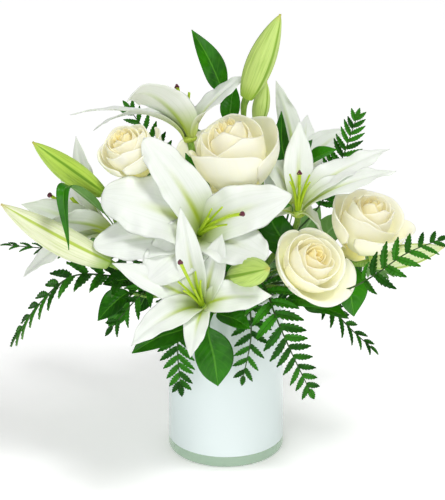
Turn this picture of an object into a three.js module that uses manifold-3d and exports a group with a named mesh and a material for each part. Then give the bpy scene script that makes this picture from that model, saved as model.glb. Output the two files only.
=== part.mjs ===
// A bouquet of white lilies, cream roses, fern and broad leaves in a white glass cylinder vase.
// Millimetres and +Z up, with the origin at the middle of the vase's foot and the front towards -Y.
// Flowers and leaves are placed by photograph columns and rows, and a depth behind the vase's axis.

import * as THREE from "three";
import { mergeVertices } from "three/addons/utils/BufferGeometryUtils.js";
import Module from "manifold-3d";

const wasm = await Module();
wasm.setup();

// Driving dimensions.
const VASE_DIAMETER = 102;
const VASE_HEIGHT = 157;
const GLASS_WALL = 3.7;
const GLASS_FLOOR = 14;
const MOUTH_REACH = 41; // how far from the axis a stem leaves the mouth
const LIP_CLEARANCE = 5; // how far over the lip a stem goes straight
const FOOT_SPREAD = 0.7; // a stem's foot is this much nearer the axis
const WATER_LEVEL = 118;
const ROOM = 0.4; // kept between neighbouring pieces
const MERGE_WITHIN = 0.05; // slivers along cuts are merged within this
const PETAL_THICKNESS = 1.2;
const LEAF_THICKNESS = 1.0;
const LEAFLET_THICKNESS = 0.9;
const TIP_HALF_WIDTH = 0.7;
const LILY_STALK_RADIUS = 2.8;
const ROSE_STALK_RADIUS = 2.5;
const BUD_STALK_RADIUS = 2.1;
const LEAFY_STALK_RADIUS = 1.9;
const FROND_STALK_RADIUS = 1.3;
const FILAMENT_RADIUS = 0.9;
const LILY_STEPS = 6;
const SPRAY_STEPS = 7;
const RIB_HALF_WIDTH = 0.9;
const WAVE_SHIFT = 1.2; // how far one margin's waves run ahead of the other's, radians

// The photograph's frame: the vase's axis, the middle of its foot, its scale and the view's tilt.
const AXIS_COLUMN = 226;
const BASE_ROW = 445;
const MM_PER_PIXEL = 0.88;
const TILT = THREE.MathUtils.degToRad(25);
const GOLDEN_ANGLE = THREE.MathUtils.degToRad(137.5); // from one rose petal to the next
const ROSE_PETALS = 7;

const PETAL_WHITE = 0xf4f6f0;
const ROSE_CREAM = 0xf3ecd0;
const STEM_GREEN = 0x6f9a2c;
const FERN_GREEN = 0x2f6a16;
const LEAF_GREEN = 0x2f7010;

// A point from its photograph column and row, and its depth.
function at([column, row, depth]) {
  const height = (BASE_ROW - row) * MM_PER_PIXEL;
  const z = (height - depth * Math.sin(TILT)) / Math.cos(TILT);
  return new THREE.Vector3((column - AXIS_COLUMN) * MM_PER_PIXEL, depth, z);
}

// A unit direction from its parts to the right, up and towards the viewer.
function towards([right, up, near]) {
  const y = up * Math.sin(TILT) - near * Math.cos(TILT);
  const z = up * Math.cos(TILT) + near * Math.sin(TILT);
  return new THREE.Vector3(right, y, z).normalize();
}

function along(start, direction, distance) {
  return start.clone().addScaledVector(direction, distance);
}

// ---- closed bodies ----

function solidOf(positions, faces) {
  const mesh = new wasm.Mesh({
    numProp: 3,
    vertProperties: new Float32Array(positions),
    triVerts: new Uint32Array(faces),
  });
  return new wasm.Manifold(mesh);
}

function solidOfGeometry(geometry) {
  geometry.deleteAttribute("normal");
  geometry.deleteAttribute("uv");
  const merged = mergeVertices(geometry, 1e-4);
  return solidOf(merged.attributes.position.array, merged.index.array);
}

// The body between rings of points, with a flat lid on each end. A blade's ring runs along its upper
// face and back along its lower one, and both faces are split into the same triangles.
function loft(rings, blade) {
  const count = rings[0].length;
  const end = (rings.length - 1) * count;
  const faces = [];
  for (let row = 0; row < rings.length - 1; row++) {
    for (let side = 0; side < count; side++) {
      const next = (side + 1) % count;
      const [a, b] = [row * count + side, row * count + next];
      const [c, d] = [b + count, a + count];
      const under = blade && side >= count / 2;
      faces.push(...(under ? [a, b, d, b, c, d] : [a, b, c, a, c, d]));
    }
  }
  const lid = [];
  for (let side = 1; side < count - 1; side++) {
    if (!blade) lid.push([0, side, side + 1]);
    else if (side < count / 2) {
      lid.push([side - 1, side, count - side], [side, count - 1 - side, count - side]);
    }
  }
  for (const [a, b, c] of lid) {
    faces.push(a, c, b, end + a, end + b, end + c);
  }
  const points = rings.flat();
  const volume = (a, b, c) => points[a].dot(points[b].clone().cross(points[c]));
  let total = 0;
  for (let i = 0; i < faces.length; i += 3) total += volume(faces[i], faces[i + 1], faces[i + 2]);
  if (total < 0) {
    for (let i = 0; i < faces.length; i += 3) [faces[i], faces[i + 1]] = [faces[i + 1], faces[i]];
  }
  return solidOf(points.flatMap((point) => point.toArray()), faces);
}

// A blade of even thickness over a surface(s, w), with s from root to tip and w from -1 to 1 across.
// pad makes it fatter and longer all round.
function sheet(surface, rows, columns, thickness, pad) {
  const step = 0.01;
  const rings = [];
  for (let row = 0; row <= rows; row++) {
    const upper = [];
    const lower = [];
    for (let column = 0; column <= columns; column++) {
      const s = row / rows;
      const w = (column / columns) * 2 - 1;
      const lengthways = surface(s + step, w).sub(surface(s - step, w)).normalize();
      const across = surface(s, w + step).sub(surface(s, w - step)).normalize();
      const normal = lengthways.clone().cross(across).normalize();
      const point = surface(s, w);
      if (row === 0 || row === rows) point.addScaledVector(lengthways, row ? pad : -pad);
      if (column === 0 || column === columns) point.addScaledVector(across, column ? pad : -pad);
      upper.push(along(point, normal, thickness / 2 + pad));
      lower.unshift(along(point, normal, -thickness / 2 - pad));
    }
    rings.push([...upper, ...lower]);
  }
  return loft(rings, true);
}

// A round body along a curve, with its radius a function of the way along it, 0 to 1.
function round(curve, radius, sides, steps, pad) {
  const { normals, binormals } = curve.computeFrenetFrames(steps, false);
  const rings = normals.map((normal, step) => {
    const centre = curve.getPointAt(step / steps);
    const tangent = curve.getTangentAt(step / steps);
    if (step === 0 || step === steps) centre.addScaledVector(tangent, step ? pad : -pad);
    const size = radius(step / steps) + pad;
    return Array.from({ length: sides }, (_, side) => {
      const angle = (side / sides) * 2 * Math.PI;
      const point = along(centre, normal, Math.cos(angle) * size);
      return point.addScaledVector(binormals[step], Math.sin(angle) * size);
    });
  });
  return loft(rings, false);
}

// A stem of even radius: a polygon carried along a curve through the points.
function stem(points, radius, sides, steps, pad) {
  const path = new THREE.CatmullRomCurve3(points);
  const corners = Array.from({ length: sides }, (_, side) => {
    const angle = (side / sides) * 2 * Math.PI;
    return new THREE.Vector2(Math.cos(angle), Math.sin(angle)).multiplyScalar(radius + pad);
  });
  const settings = { steps, bevelEnabled: false, extrudePath: path };
  return solidOfGeometry(new THREE.ExtrudeGeometry(new THREE.Shape(corners), settings));
}

// The point at `t` of a stem's path as drawn in even steps.
function onStem(path, steps, t) {
  const step = Math.min(Math.floor(t * steps), steps - 1);
  const [start, end] = [path.getPointAt(step / steps), path.getPointAt((step + 1) / steps)];
  return start.lerp(end, t * steps - step);
}

// A body turned about the vertical axis from a profile of [radius, height] points.
function turned(profile, segments) {
  const points = profile.map(([radius, height]) => new THREE.Vector2(radius, height));
  const geometry = new THREE.LatheGeometry(points, segments);
  geometry.rotateX(Math.PI / 2);
  const solid = solidOfGeometry(geometry);
  if (solid.volume() > 0) return solid;
  return solidOfGeometry(new THREE.LatheGeometry(points.reverse(), segments).rotateX(Math.PI / 2));
}

const joined = (solids) => solids.reduce((whole, piece) => whole.add(piece));

// ---- petals, buds, leaves and fronds ----

// A cubic curve that leaves the root along `axis`, bulges up and bends down to the tip.
function arch(root, axis, tip, rise, bulge) {
  const length = root.distanceTo(tip);
  const shoulder = root.clone().lerp(tip, 0.62);
  return new THREE.CubicBezierCurve3(
    root,
    along(root, axis, rise * length),
    along(shoulder, axis, bulge * length),
    tip,
  );
}

// The surface of a petal or leaf: a curve with a width, edges lifted by cup, and a wavy margin.
function bladeSurface(curve, side, { half, width, cup, wave, waves }) {
  return (s, w) => {
    const t = Math.min(Math.max(s, 0), 1);
    const tangent = curve.getTangentAt(t);
    const across = along(side, tangent, -side.dot(tangent)).normalize();
    const face = tangent.clone().cross(across);
    const reach = Math.max(half * width(t), TIP_HALF_WIDTH);
    const ripple = wave * Math.sin(waves * 2 * Math.PI * t + (w > 0 ? WAVE_SHIFT : 0)) * w * w * t;
    const point = along(curve.getPointAt(t), tangent, (s - t) * curve.getLength());
    return point.addScaledVector(across, reach * w).addScaledVector(face, cup(t) * reach * w * w + ripple);
  };
}

// The two whorls of a lily: the ring its petals are rooted on, and how they rise and bulge.
const INNER_WHORL = { ring: 4.5, rise: 0.3, bulge: 0.03 };
const OUTER_WHORL = { ring: 5.7, rise: 0.26, bulge: -0.04 };

// A lily petal is a narrow claw at its root, widest past its middle, and pointed.
const petalWidth = (t) => Math.sin(Math.PI * t ** 0.95) ** 1.2 + 0.1 * (1 - t) ** 4;
const petalCup = (t) => 0.75 * (1 - t) ** 2 - 0.22 * t ** 3;
const leafWidth = (t) => Math.sin(Math.PI * t ** 0.8) ** 0.9;

// Six petals, each rooted in its own sixth of the ring that the bloom's stalk comes up through.
function lilyPetals(lily, pad) {
  const axis = towards(lily.faces);
  const base = at(lily.base);
  const first = outwardOf(lily.petals[0], base, axis);
  const petals = lily.petals.map((petal) => {
    const outward = outwardOf(petal, base, axis);
    const turn = Math.atan2(first.clone().cross(outward).dot(axis), first.dot(outward));
    return { petal, outward, turn };
  });
  const inOrder = [...petals].sort((one, other) => one.turn - other.turn);
  const start = inOrder.reduce((sum, { turn }, k) => sum + turn - (k * Math.PI) / 3, 0) / 6;
  const blades = inOrder.map(({ petal, outward }, k) => {
    const [column, row, depth, half, bulge, wave] = petal;
    const whorl = k % 2 ? OUTER_WHORL : INNER_WHORL;
    const rootwards = first.clone().applyAxisAngle(axis, start + (k * Math.PI) / 3);
    const root = along(base, rootwards, whorl.ring);
    const curve = arch(root, axis, at([column, row, depth]), whorl.rise, bulge + whorl.bulge);
    const side = axis.clone().cross(outward);
    const shape = { half, width: petalWidth, cup: petalCup, wave, waves: 2 };
    return sheet(bladeSurface(curve, side, shape), half < 15 ? 3 : 4, 2, PETAL_THICKNESS, pad);
  });
  return joined([claspRing(base, axis, pad), ...blades]);
}

// The direction of a petal's tip from the bloom's axis.
function outwardOf([column, row, depth], base, axis) {
  const outward = at([column, row, depth]).sub(base);
  return outward.addScaledVector(axis, -outward.dot(axis)).normalize();
}

const CLASP = { inner: 3.8, foot: 7, brim: 7.6, low: -1.5, high: 2.5 };

// The ring that joins the petals' roots, open where the stalk passes.
function claspRing(base, axis, pad) {
  const { inner, foot, brim, low, high } = CLASP;
  const profile = [
    [inner - pad, low - pad],
    [foot + pad, low - pad],
    [brim + pad, high + pad],
    [inner - pad, high + pad],
    [inner - pad, low - pad],
  ];
  const turn = new THREE.Quaternion().setFromUnitVectors(new THREE.Vector3(0, 0, 1), axis);
  const place = new THREE.Matrix4().compose(base, turn, new THREE.Vector3(1, 1, 1));
  return turned(profile, 6).transform(place.toArray());
}

// A stem stands on the vase's floor and leaves its mouth at [x, y], clear of the rim.
function fromVase([x, y]) {
  const pull = Math.min(1, MOUTH_REACH / Math.hypot(x, y));
  const lip = new THREE.Vector3(x * pull, y * pull, VASE_HEIGHT + LIP_CLEARANCE);
  const foot = new THREE.Vector3(lip.x * FOOT_SPREAD, lip.y * FOOT_SPREAD, GLASS_FLOOR + 2 * ROOM);
  return [foot, foot.clone().lerp(lip, 0.5), lip];
}

// A lily's stem, with the middle of its bloom, the stalks of its buds and its leaves.
function lilyStem(lily, pad) {
  const axis = towards(lily.faces);
  const base = at(lily.base);
  const via = (lily.via ?? []).map(at);
  const main = [...fromVase(lily.leaves), ...via, along(base, axis, -13), along(base, axis, 4)];
  const pieces = [stem(main, LILY_STALK_RADIUS, 4, LILY_STEPS, pad)];
  const path = new THREE.CatmullRomCurve3(main);
  pieces.push(...bloomMiddle(base, axis, at(lily.stigma), pad));
  for (const stalk of lily.stalks ?? []) {
    const bud = BUDS.find((one) => one.name === stalk.bud);
    const root = at(bud.base);
    const direction = at(bud.tip).sub(root).normalize();
    const points = [onStem(path, LILY_STEPS, stalk.from), ...stalk.via.map(at)];
    points.push(along(root, direction, -8), along(root, direction, -ROOM));
    pieces.push(stem(points, BUD_STALK_RADIUS, 4, 4, pad));
  }
  for (const leaf of lily.foliage ?? []) {
    pieces.push(leafOn(onStem(path, LILY_STEPS, leaf.from), leaf, pad));
  }
  return joined(pieces);
}

// The pistil, with a swollen stigma, and the six filaments that lean out round it and follow it.
function bloomMiddle(base, axis, stigma, pad) {
  const bend = stigma.clone().lerp(along(base, axis, 55), 0.4);
  const style = new THREE.CubicBezierCurve3(base, along(base, axis, 22), bend, stigma);
  const pieces = [round(style, (t) => (t > 0.9 ? 2.4 : 1.2), 3, 4, pad)];
  const across = axis.clone().add(new THREE.Vector3(0.3, 0.2, 0));
  const sideways = style.getTangentAt(0.4).cross(across).normalize();
  const follow = stigma.clone().sub(along(base, axis, 60)).multiplyScalar(0.35);
  for (let k = 0; k < 6; k++) {
    const lean = sideways.clone().applyAxisAngle(axis, (k / 6) * 2 * Math.PI + 0.4);
    const end = along(along(base, axis, 44), lean, 10).add(follow);
    const filament = new THREE.LineCurve3(along(base, lean, 0.8), end);
    pieces.push(round(filament, () => FILAMENT_RADIUS, 3, 1, pad));
  }
  return pieces;
}

// A broad leaf: one blade that leaves the stem at `root` as a narrow stalk and widens past its base.
function leafOn(root, leaf, pad) {
  const face = towards(leaf.faces);
  const base = at(leaf.base);
  const tip = at(leaf.tip);
  const rise = (leaf.bulge ?? 0.12) * base.distanceTo(tip);
  const shoulder = along(base.clone().lerp(tip, 0.55), face, rise);
  const curve = new THREE.CatmullRomCurve3([root, base, shoulder, tip]);
  const side = face.clone().cross(tip.clone().sub(base)).normalize();
  const stalk = root.distanceTo(base) / curve.getLength();
  const width = (t) => (t < stalk ? 0.1 : leafWidth((t - stalk) / (1 - stalk)));
  const shape = { half: leaf.half, width, cup: () => 0.25, wave: 0.8, waves: 1.5 };
  const surface = bladeSurface(curve, side, shape);
  // The first quarter of the rows is the stalk, the rest is the blade.
  const wayAlong = (s) => (s < 0.25 ? 4 * s * stalk : stalk + ((4 * s - 1) / 3) * (1 - stalk));
  return sheet((s, w) => surface(wayAlong(s), w), 4, leaf.half < 12 ? 1 : 2, LEAF_THICKNESS, pad);
}

// A stem with broad leaves.
function leafyStem(spray, pad) {
  const points = [...fromVase(spray.leaves), ...spray.via.map(at)];
  const path = new THREE.CatmullRomCurve3(points);
  const pieces = [stem(points, LEAFY_STALK_RADIUS, 4, SPRAY_STEPS, pad)];
  for (const leaf of spray.foliage) {
    pieces.push(leafOn(onStem(path, SPRAY_STEPS, leaf.from), leaf, pad));
  }
  return joined(pieces);
}

// A bud is a six-sided spindle, pointed at its tip and bowed across the view.
function budBody(bud, pad) {
  const base = at(bud.base);
  const tip = at(bud.tip);
  const middle = along(base.clone().lerp(tip, 0.5), towards([0, 1, 0]), bud.bow ?? 0);
  const curve = new THREE.QuadraticBezierCurve3(base, middle, tip);
  const radius = (t) => Math.max(bud.half * Math.sin(Math.PI * (0.1 + 0.9 * t) ** 0.9) ** 0.75, 1);
  return round(curve, radius, 6, 6, pad);
}

// The surface of a rose petal: part of a cup round the axis, with a rounded lip that rolls outwards.
function rosePetalSurface(base, axis, side, { angle, span, reach, height, roll }) {
  const other = axis.clone().cross(side);
  return (s, w) => {
    const t = Math.max(s, 0) * (1 - 0.16 * w * w);
    const turn = angle + w * span * Math.min(1, 0.5 + 0.9 * t);
    const radius = reach * (0.34 + 0.66 * Math.sin((Math.PI / 2) * Math.min(t, 1)) ** 0.8) + roll * t ** 4;
    const up = height * t - roll * 0.55 * t ** 5;
    const point = along(base, axis, up + Math.min(s, 0) * height);
    point.addScaledVector(side, Math.cos(turn) * radius);
    return point.addScaledVector(other, Math.sin(turn) * radius);
  };
}

// A rose's head: a heart, and petals that stand wider and lower towards the outside.
function roseHead(rose, pad) {
  const base = at(rose.base);
  const axis = towards(rose.faces);
  const side = new THREE.Vector3(1, 0, 0).addScaledVector(axis, -axis.x).normalize();
  const heart = new THREE.LineCurve3(along(base, axis, 0.5), along(base, axis, rose.height * 0.74));
  const heartRadius = (t) => rose.reach * (0.18 + 0.3 * Math.max(0, 1 - 2 * t));
  const pieces = [round(heart, heartRadius, 6, 2, pad)];
  for (let k = 0; k < ROSE_PETALS; k++) {
    const out = k / (ROSE_PETALS - 1);
    const shape = {
      angle: k * GOLDEN_ANGLE,
      span: 0.9 - 0.1 * out,
      reach: rose.reach * (0.36 + 0.64 * out ** 0.9),
      height: rose.height * (0.98 - 0.16 * out),
      roll: rose.reach * 0.3 * out ** 2,
    };
    const surface = rosePetalSurface(along(base, axis, 2), axis, side, shape);
    pieces.push(sheet(surface, 2, 3, PETAL_THICKNESS, pad));
  }
  return joined(pieces);
}

// A rose's stem, with the hip under its head and five sepals that bend down round it.
function roseStem(rose, pad) {
  const base = at(rose.base);
  const axis = towards(rose.faces);
  const main = [...fromVase(rose.leaves), along(base, axis, -16), along(base, axis, -5)];
  const pieces = [stem(main, ROSE_STALK_RADIUS, 4, 5, pad)];
  const hip = new THREE.LineCurve3(along(base, axis, -11), along(base, axis, -ROOM));
  pieces.push(round(hip, (t) => 2.4 + 3.2 * Math.sin(Math.PI * (0.1 + 0.6 * t)), 4, 2, pad));
  const side = new THREE.Vector3(1, 0, 0).addScaledVector(axis, -axis.x).normalize();
  for (let k = 0; k < 5; k++) {
    const outward = side.clone().applyAxisAngle(axis, (k / 5) * 2 * Math.PI + 0.5);
    const root = along(along(base, axis, -3), outward, 3.6);
    const tip = along(along(base, axis, -20), outward, 19);
    const curve = arch(root, outward, tip, 0.4, -0.05);
    const shape = { half: 3.4, width: leafWidth, cup: () => 0.2, wave: 0, waves: 1 };
    const sepal = bladeSurface(curve, axis.clone().cross(outward), shape);
    pieces.push(sheet(sepal, 2, 1, LEAF_THICKNESS, pad));
  }
  return joined(pieces);
}

// A frond: a stalk up to `bare`, and past it a blade cut to the rib into pairs of pointed leaflets. Each
// leaflet has a gap, a tooth and a tip, and they shorten towards the frond's end.
const LEAFLET_STEPS = [
  { lead: 0, reach: 0 },
  { lead: 0.35, reach: 0.62 },
  { lead: 0.9, reach: 1 },
];

function frond(fern, pad) {
  const points = [...fromVase(fern.leaves), ...fern.via.map(at)];
  const path = new THREE.CatmullRomCurve3(points);
  const face = towards(fern.faces);
  const pitch = (1 - fern.bare) / fern.pairs;
  const rings = [];
  for (let row = 0; row <= fern.pairs * LEAFLET_STEPS.length; row++) {
    const { lead, reach } = LEAFLET_STEPS[row % LEAFLET_STEPS.length];
    const pair = Math.floor(row / LEAFLET_STEPS.length);
    const t = fern.bare + (pair + lead) * pitch;
    const share = pair ? 1 - 0.9 * (pair / fern.pairs) ** 1.3 : 0.75;
    const length = RIB_HALF_WIDTH + reach * fern.reach * share;
    const tangent = path.getTangentAt(Math.min(t, 1));
    const across = face.clone().cross(tangent).normalize();
    const normal = tangent.clone().cross(across);
    const edge = LEAFLET_THICKNESS / 2 + pad;
    const centre = path.getPointAt(Math.min(t, 1));
    const corner = (w, face) => along(along(centre, across, w * (length + pad)), normal, face * edge);
    rings.push([corner(-1, 1), corner(1, 1), corner(1, -1), corner(-1, -1)]);
  }
  const stalk = Array.from({ length: 7 }, (_, k) => path.getPointAt((k / 6) * (fern.bare + 0.02)));
  return joined([stem(stalk, FROND_STALK_RADIUS, 3, 5, pad), loft(rings, true)]);
}

// ---- what stands where ----
// Each place is [column, row, depth], each facing [right, up, near], and `leaves` is where a stem leaves
// the vase's mouth, [x, y]. `from` is the way along the stem at which a stalk or leaf starts.
// A lily's petals are given by their tips: [column, row, depth, half width, bulge, wave].

const LILIES = [
  {
    name: "lily_front",
    base: [203, 305, -96],
    faces: [-0.2, 0.35, 0.9],
    leaves: [-11, -37],
    via: [[214, 296, -58]],
    stigma: [180.5, 260, -138],
    petals: [
      [181, 208, -84, 12, 0.12, 1],
      [222, 234, -88, 14, 0.16, 1],
      [271, 295, -112, 15, 0.25, 1.5],
      [191, 355, -160, 11, 0.2, 1],
      [133, 344, -146, 15, 0.36, 1.5],
      [114, 263, -98, 13, 0.2, 1],
    ],
    stalks: [{ bud: "bud_centre", from: 0.82, via: [[224, 284, -66]] }],
  },
  {
    name: "lily_centre",
    base: [199, 235, -56],
    faces: [0.15, 0.35, 0.9],
    leaves: [-13, -24],
    stigma: [244, 215, -112],
    petals: [
      [103, 196, -66, 30, 0.2, 2],
      [145, 140, -49, 20, 0.26, 1.5],
      [291, 196, -66, 23, 0.22, 2],
      [95, 246, -84, 22, 0.2, 2],
      [148, 280, -104, 23, 0.28, 2.5],
      [266, 259, -104, 24, 0.25, 3],
    ],
    foliage: [
      { from: 0.9, base: [206, 206, -32], tip: [186, 154, -26], half: 9, faces: [0, 0, 1] },
      { from: 0.75, base: [218, 268, -54], tip: [238, 244, -60], half: 10, faces: [0.2, 0.4, 0.9] },
    ],
  },
  {
    name: "lily_right",
    base: [297, 213, -42],
    faces: [0.05, 0.75, 0.65],
    leaves: [25, -17],
    stigma: [298, 174, -60],
    petals: [
      [299, 122, 6, 13, 0.08, 1],
      [388, 150, -12, 14, 0.14, 2],
      [394, 172, -44, 14, 0.2, 2],
      [264, 150, 26, 12, 0.1, 1],
      [262, 214, -40, 12, 0.3, 1],
      [326, 240, -30, 11, 0.35, 1],
    ],
    stalks: [{ bud: "bud_right", from: 0.62, via: [[300, 262, -42]] }],
    foliage: [
      { from: 0.8, base: [291, 192, 2], tip: [281, 112, 22], half: 10, faces: [-0.4, 0.2, 0.9] },
      { from: 0.84, base: [290, 206, -50], tip: [244, 230, -76], half: 5, faces: [0, 0.6, 0.8] },
      { from: 0.66, base: [290, 258, -34], tip: [262, 198, -24], half: 15, faces: [-0.2, 0, 1] },
    ],
  },
  {
    name: "lily_upper_left",
    base: [190, 140, 2],
    faces: [-0.2, 0.95, 0.1],
    leaves: [-9, -2],
    stigma: [177, 88, 10],
    petals: [
      [128, 106, -22, 20, 0.5, 1],
      [70, 116, 12, 10, 0.25, 1],
      [243, 78, 16, 15, 0.2, 1],
      [93, 131, 44, 9, 0.3, 1],
      [168, 108, 78, 14, 0.3, 1],
      [226, 104, 66, 11, 0.3, 1],
    ],
  },
  {
    name: "lily_left",
    base: [112, 234, -28],
    faces: [-0.83, 0.5, 0.15],
    leaves: [-41, -9],
    stigma: [50, 194.5, -30],
    petals: [
      [77, 137, 4, 12, 0.1, 1],
      [24, 205, -56, 14, 0.2, 1],
      [25, 277, -48, 12, 0.25, 1],
      [60, 168, 44, 12, 0.2, 1],
      [40, 235, 26, 12, 0.25, 1],
      [46, 226, -70, 13, 0.3, 1],
    ],
    stalks: [
      { bud: "bud_left_pale", from: 0.66, via: [[120, 268, -50]] },
      { bud: "bud_left_green", from: 0.8, via: [[125, 240, -46], [113, 210, -42]] },
    ],
    foliage: [
      {
        from: 0.93,
        base: [106, 214, -46],
        tip: [72, 250, -112],
        half: 7,
        bulge: 0.75,
        faces: [-0.3, 0.7, 0.6],
      },
    ],
  },
  {
    name: "lily_upper_right",
    base: [299, 170, 18],
    faces: [0.1, 0.45, -0.85],
    leaves: [20, 3],
    stigma: [300, 160, 84],
    petals: [
      [276, 81, 52, 10, 0.2, 1],
      [308, 114, 88, 10, 0.2, 1],
      [347, 128, 66, 14, 0.2, 1],
      [264, 192, 82, 13, 0.2, 1],
      [342, 188, 84, 13, 0.2, 1],
      [304, 196, 100, 13, 0.25, 1],
    ],
    stalks: [
      { bud: "bud_top", from: 0.55, via: [[246, 190, 14], [244, 130, 12]] },
      { bud: "bud_top_back", from: 0.6, via: [[262, 190, 26], [258, 150, 30]] },
    ],
    foliage: [
      { from: 0.9, base: [304, 166, 2], tip: [336, 150, -8], half: 8, faces: [0.1, 0.6, 0.8] },
      { from: 0.86, base: [292, 172, -2], tip: [312, 140, 22], half: 7, faces: [-0.2, 0.5, 0.8] },
    ],
  },
];

const BUDS = [
  { name: "bud_left_pale", base: [110, 262, -74], tip: [5, 205, -78], half: 13.8, bow: -6 },
  { name: "bud_left_green", base: [103, 193, -38], tip: [36, 144, -54], half: 11.5, bow: -3 },
  { name: "bud_top", base: [247, 98, 10], tip: [279.5, 18, 4], half: 13 },
  { name: "bud_top_back", base: [258, 124, 30], tip: [266, 82, 34], half: 8 },
  { name: "bud_centre", base: [233, 275, -84], tip: [268, 268, -134], half: 13.5 },
  { name: "bud_right", base: [368, 262, -50], tip: [442, 247, -44], half: 11, bow: -2 },
];

const ROSES = [
  {
    name: "rose_centre",
    base: [243, 200, -18],
    faces: [-0.2, 0.86, 0.48],
    reach: 33,
    height: 80,
    leaves: [5, -10],
  },
  {
    name: "rose_left",
    base: [141, 173, -26],
    faces: [-0.38, 0.72, 0.58],
    reach: 28,
    height: 46,
    leaves: [-27, -4],
  },
  {
    name: "rose_front_right",
    base: [294, 279, -62],
    faces: [0.46, 0.48, 0.74],
    reach: 30,
    height: 48,
    leaves: [20, -36],
  },
  {
    name: "rose_right",
    base: [352, 254, -28],
    faces: [0.34, 0.78, 0.52],
    reach: 29,
    height: 61,
    leaves: [41, -8],
  },
];

const FERNS = [
  {
    name: "fern_top_right",
    leaves: [32, 10],
    via: [[320, 205, 26], [342, 158, 16], [357, 115, 18]],
    faces: [0, 0, 1],
    bare: 0.7,
    pairs: 8,
    reach: 18,
  },
  {
    name: "fern_right",
    leaves: [41, -23],
    via: [[340, 290, -76], [370, 276, -98], [402, 254, -98], [438, 239, -80]],
    faces: [0, 0.4, 0.9],
    bare: 0.76,
    pairs: 4,
    reach: 20,
  },
  {
    name: "fern_front_right",
    leaves: [28, -32],
    via: [[264, 286, -66], [276, 318, -94], [291, 352, -90], [310, 391, -78]],
    faces: [0, 0.2, 1],
    bare: 0.56,
    pairs: 7,
    reach: 24,
  },
  {
    name: "fern_front",
    leaves: [9, -44],
    via: [[246, 292, -57], [251, 332, -67], [243, 378, -66]],
    faces: [0, 0.2, 1],
    bare: 0.58,
    pairs: 5,
    reach: 20,
  },
  {
    name: "fern_right_low",
    leaves: [42, 8],
    via: [[294, 272, 0], [322, 298, -8], [350, 328, -12], [373, 349, -14]],
    faces: [0.3, 0.7, 0.6],
    bare: 0.62,
    pairs: 5,
    reach: 20,
  },
  {
    name: "fern_left_low",
    leaves: [-40, -21],
    via: [[116, 276, -56], [74, 276, -62], [40, 304, -60], [17, 336, -56]],
    faces: [0.1, 0.8, 0.5],
    bare: 0.52,
    pairs: 7,
    reach: 29,
  },
  {
    name: "fern_left_front",
    leaves: [-36, -28],
    via: [[156, 282, -76], [138, 298, -88], [112, 328, -86]],
    faces: [-0.1, 0.5, 0.85],
    bare: 0.56,
    pairs: 5,
    reach: 22,
  },
  {
    name: "fern_left",
    leaves: [-44, 2],
    via: [[130, 260, -10], [60, 250, -8], [8, 245, -6]],
    faces: [0, 0.9, 0.4],
    bare: 0.62,
    pairs: 6,
    reach: 18,
  },
  {
    name: "fern_front_left",
    leaves: [-21, -39],
    via: [[184, 306, -66], [178, 345, -76], [181, 387, -74]],
    faces: [-0.1, 0.3, 0.95],
    bare: 0.54,
    pairs: 8,
    reach: 23,
  },
  {
    name: "fern_upper_left",
    leaves: [-24, 12],
    via: [[168, 180, 40], [148, 136, 54], [127, 106, 62]],
    faces: [0, 0.2, 1],
    bare: 0.72,
    pairs: 5,
    reach: 18,
  },
  {
    name: "fern_back_left",
    leaves: [-36, 22],
    via: [[150, 250, 60], [110, 240, 96], [80, 250, 120]],
    faces: [-0.2, 0.9, -0.3],
    bare: 0.52,
    pairs: 5,
    reach: 34,
  },
  {
    name: "fern_back",
    leaves: [2, 42],
    via: [[228, 230, 78], [226, 220, 112], [222, 238, 138]],
    faces: [0, 0.9, -0.4],
    bare: 0.52,
    pairs: 5,
    reach: 36,
  },
  {
    name: "fern_back_right",
    leaves: [36, 26],
    via: [[312, 262, 52], [348, 258, 76], [380, 272, 92]],
    faces: [0.2, 0.9, -0.3],
    bare: 0.54,
    pairs: 5,
    reach: 34,
  },
];

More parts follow.
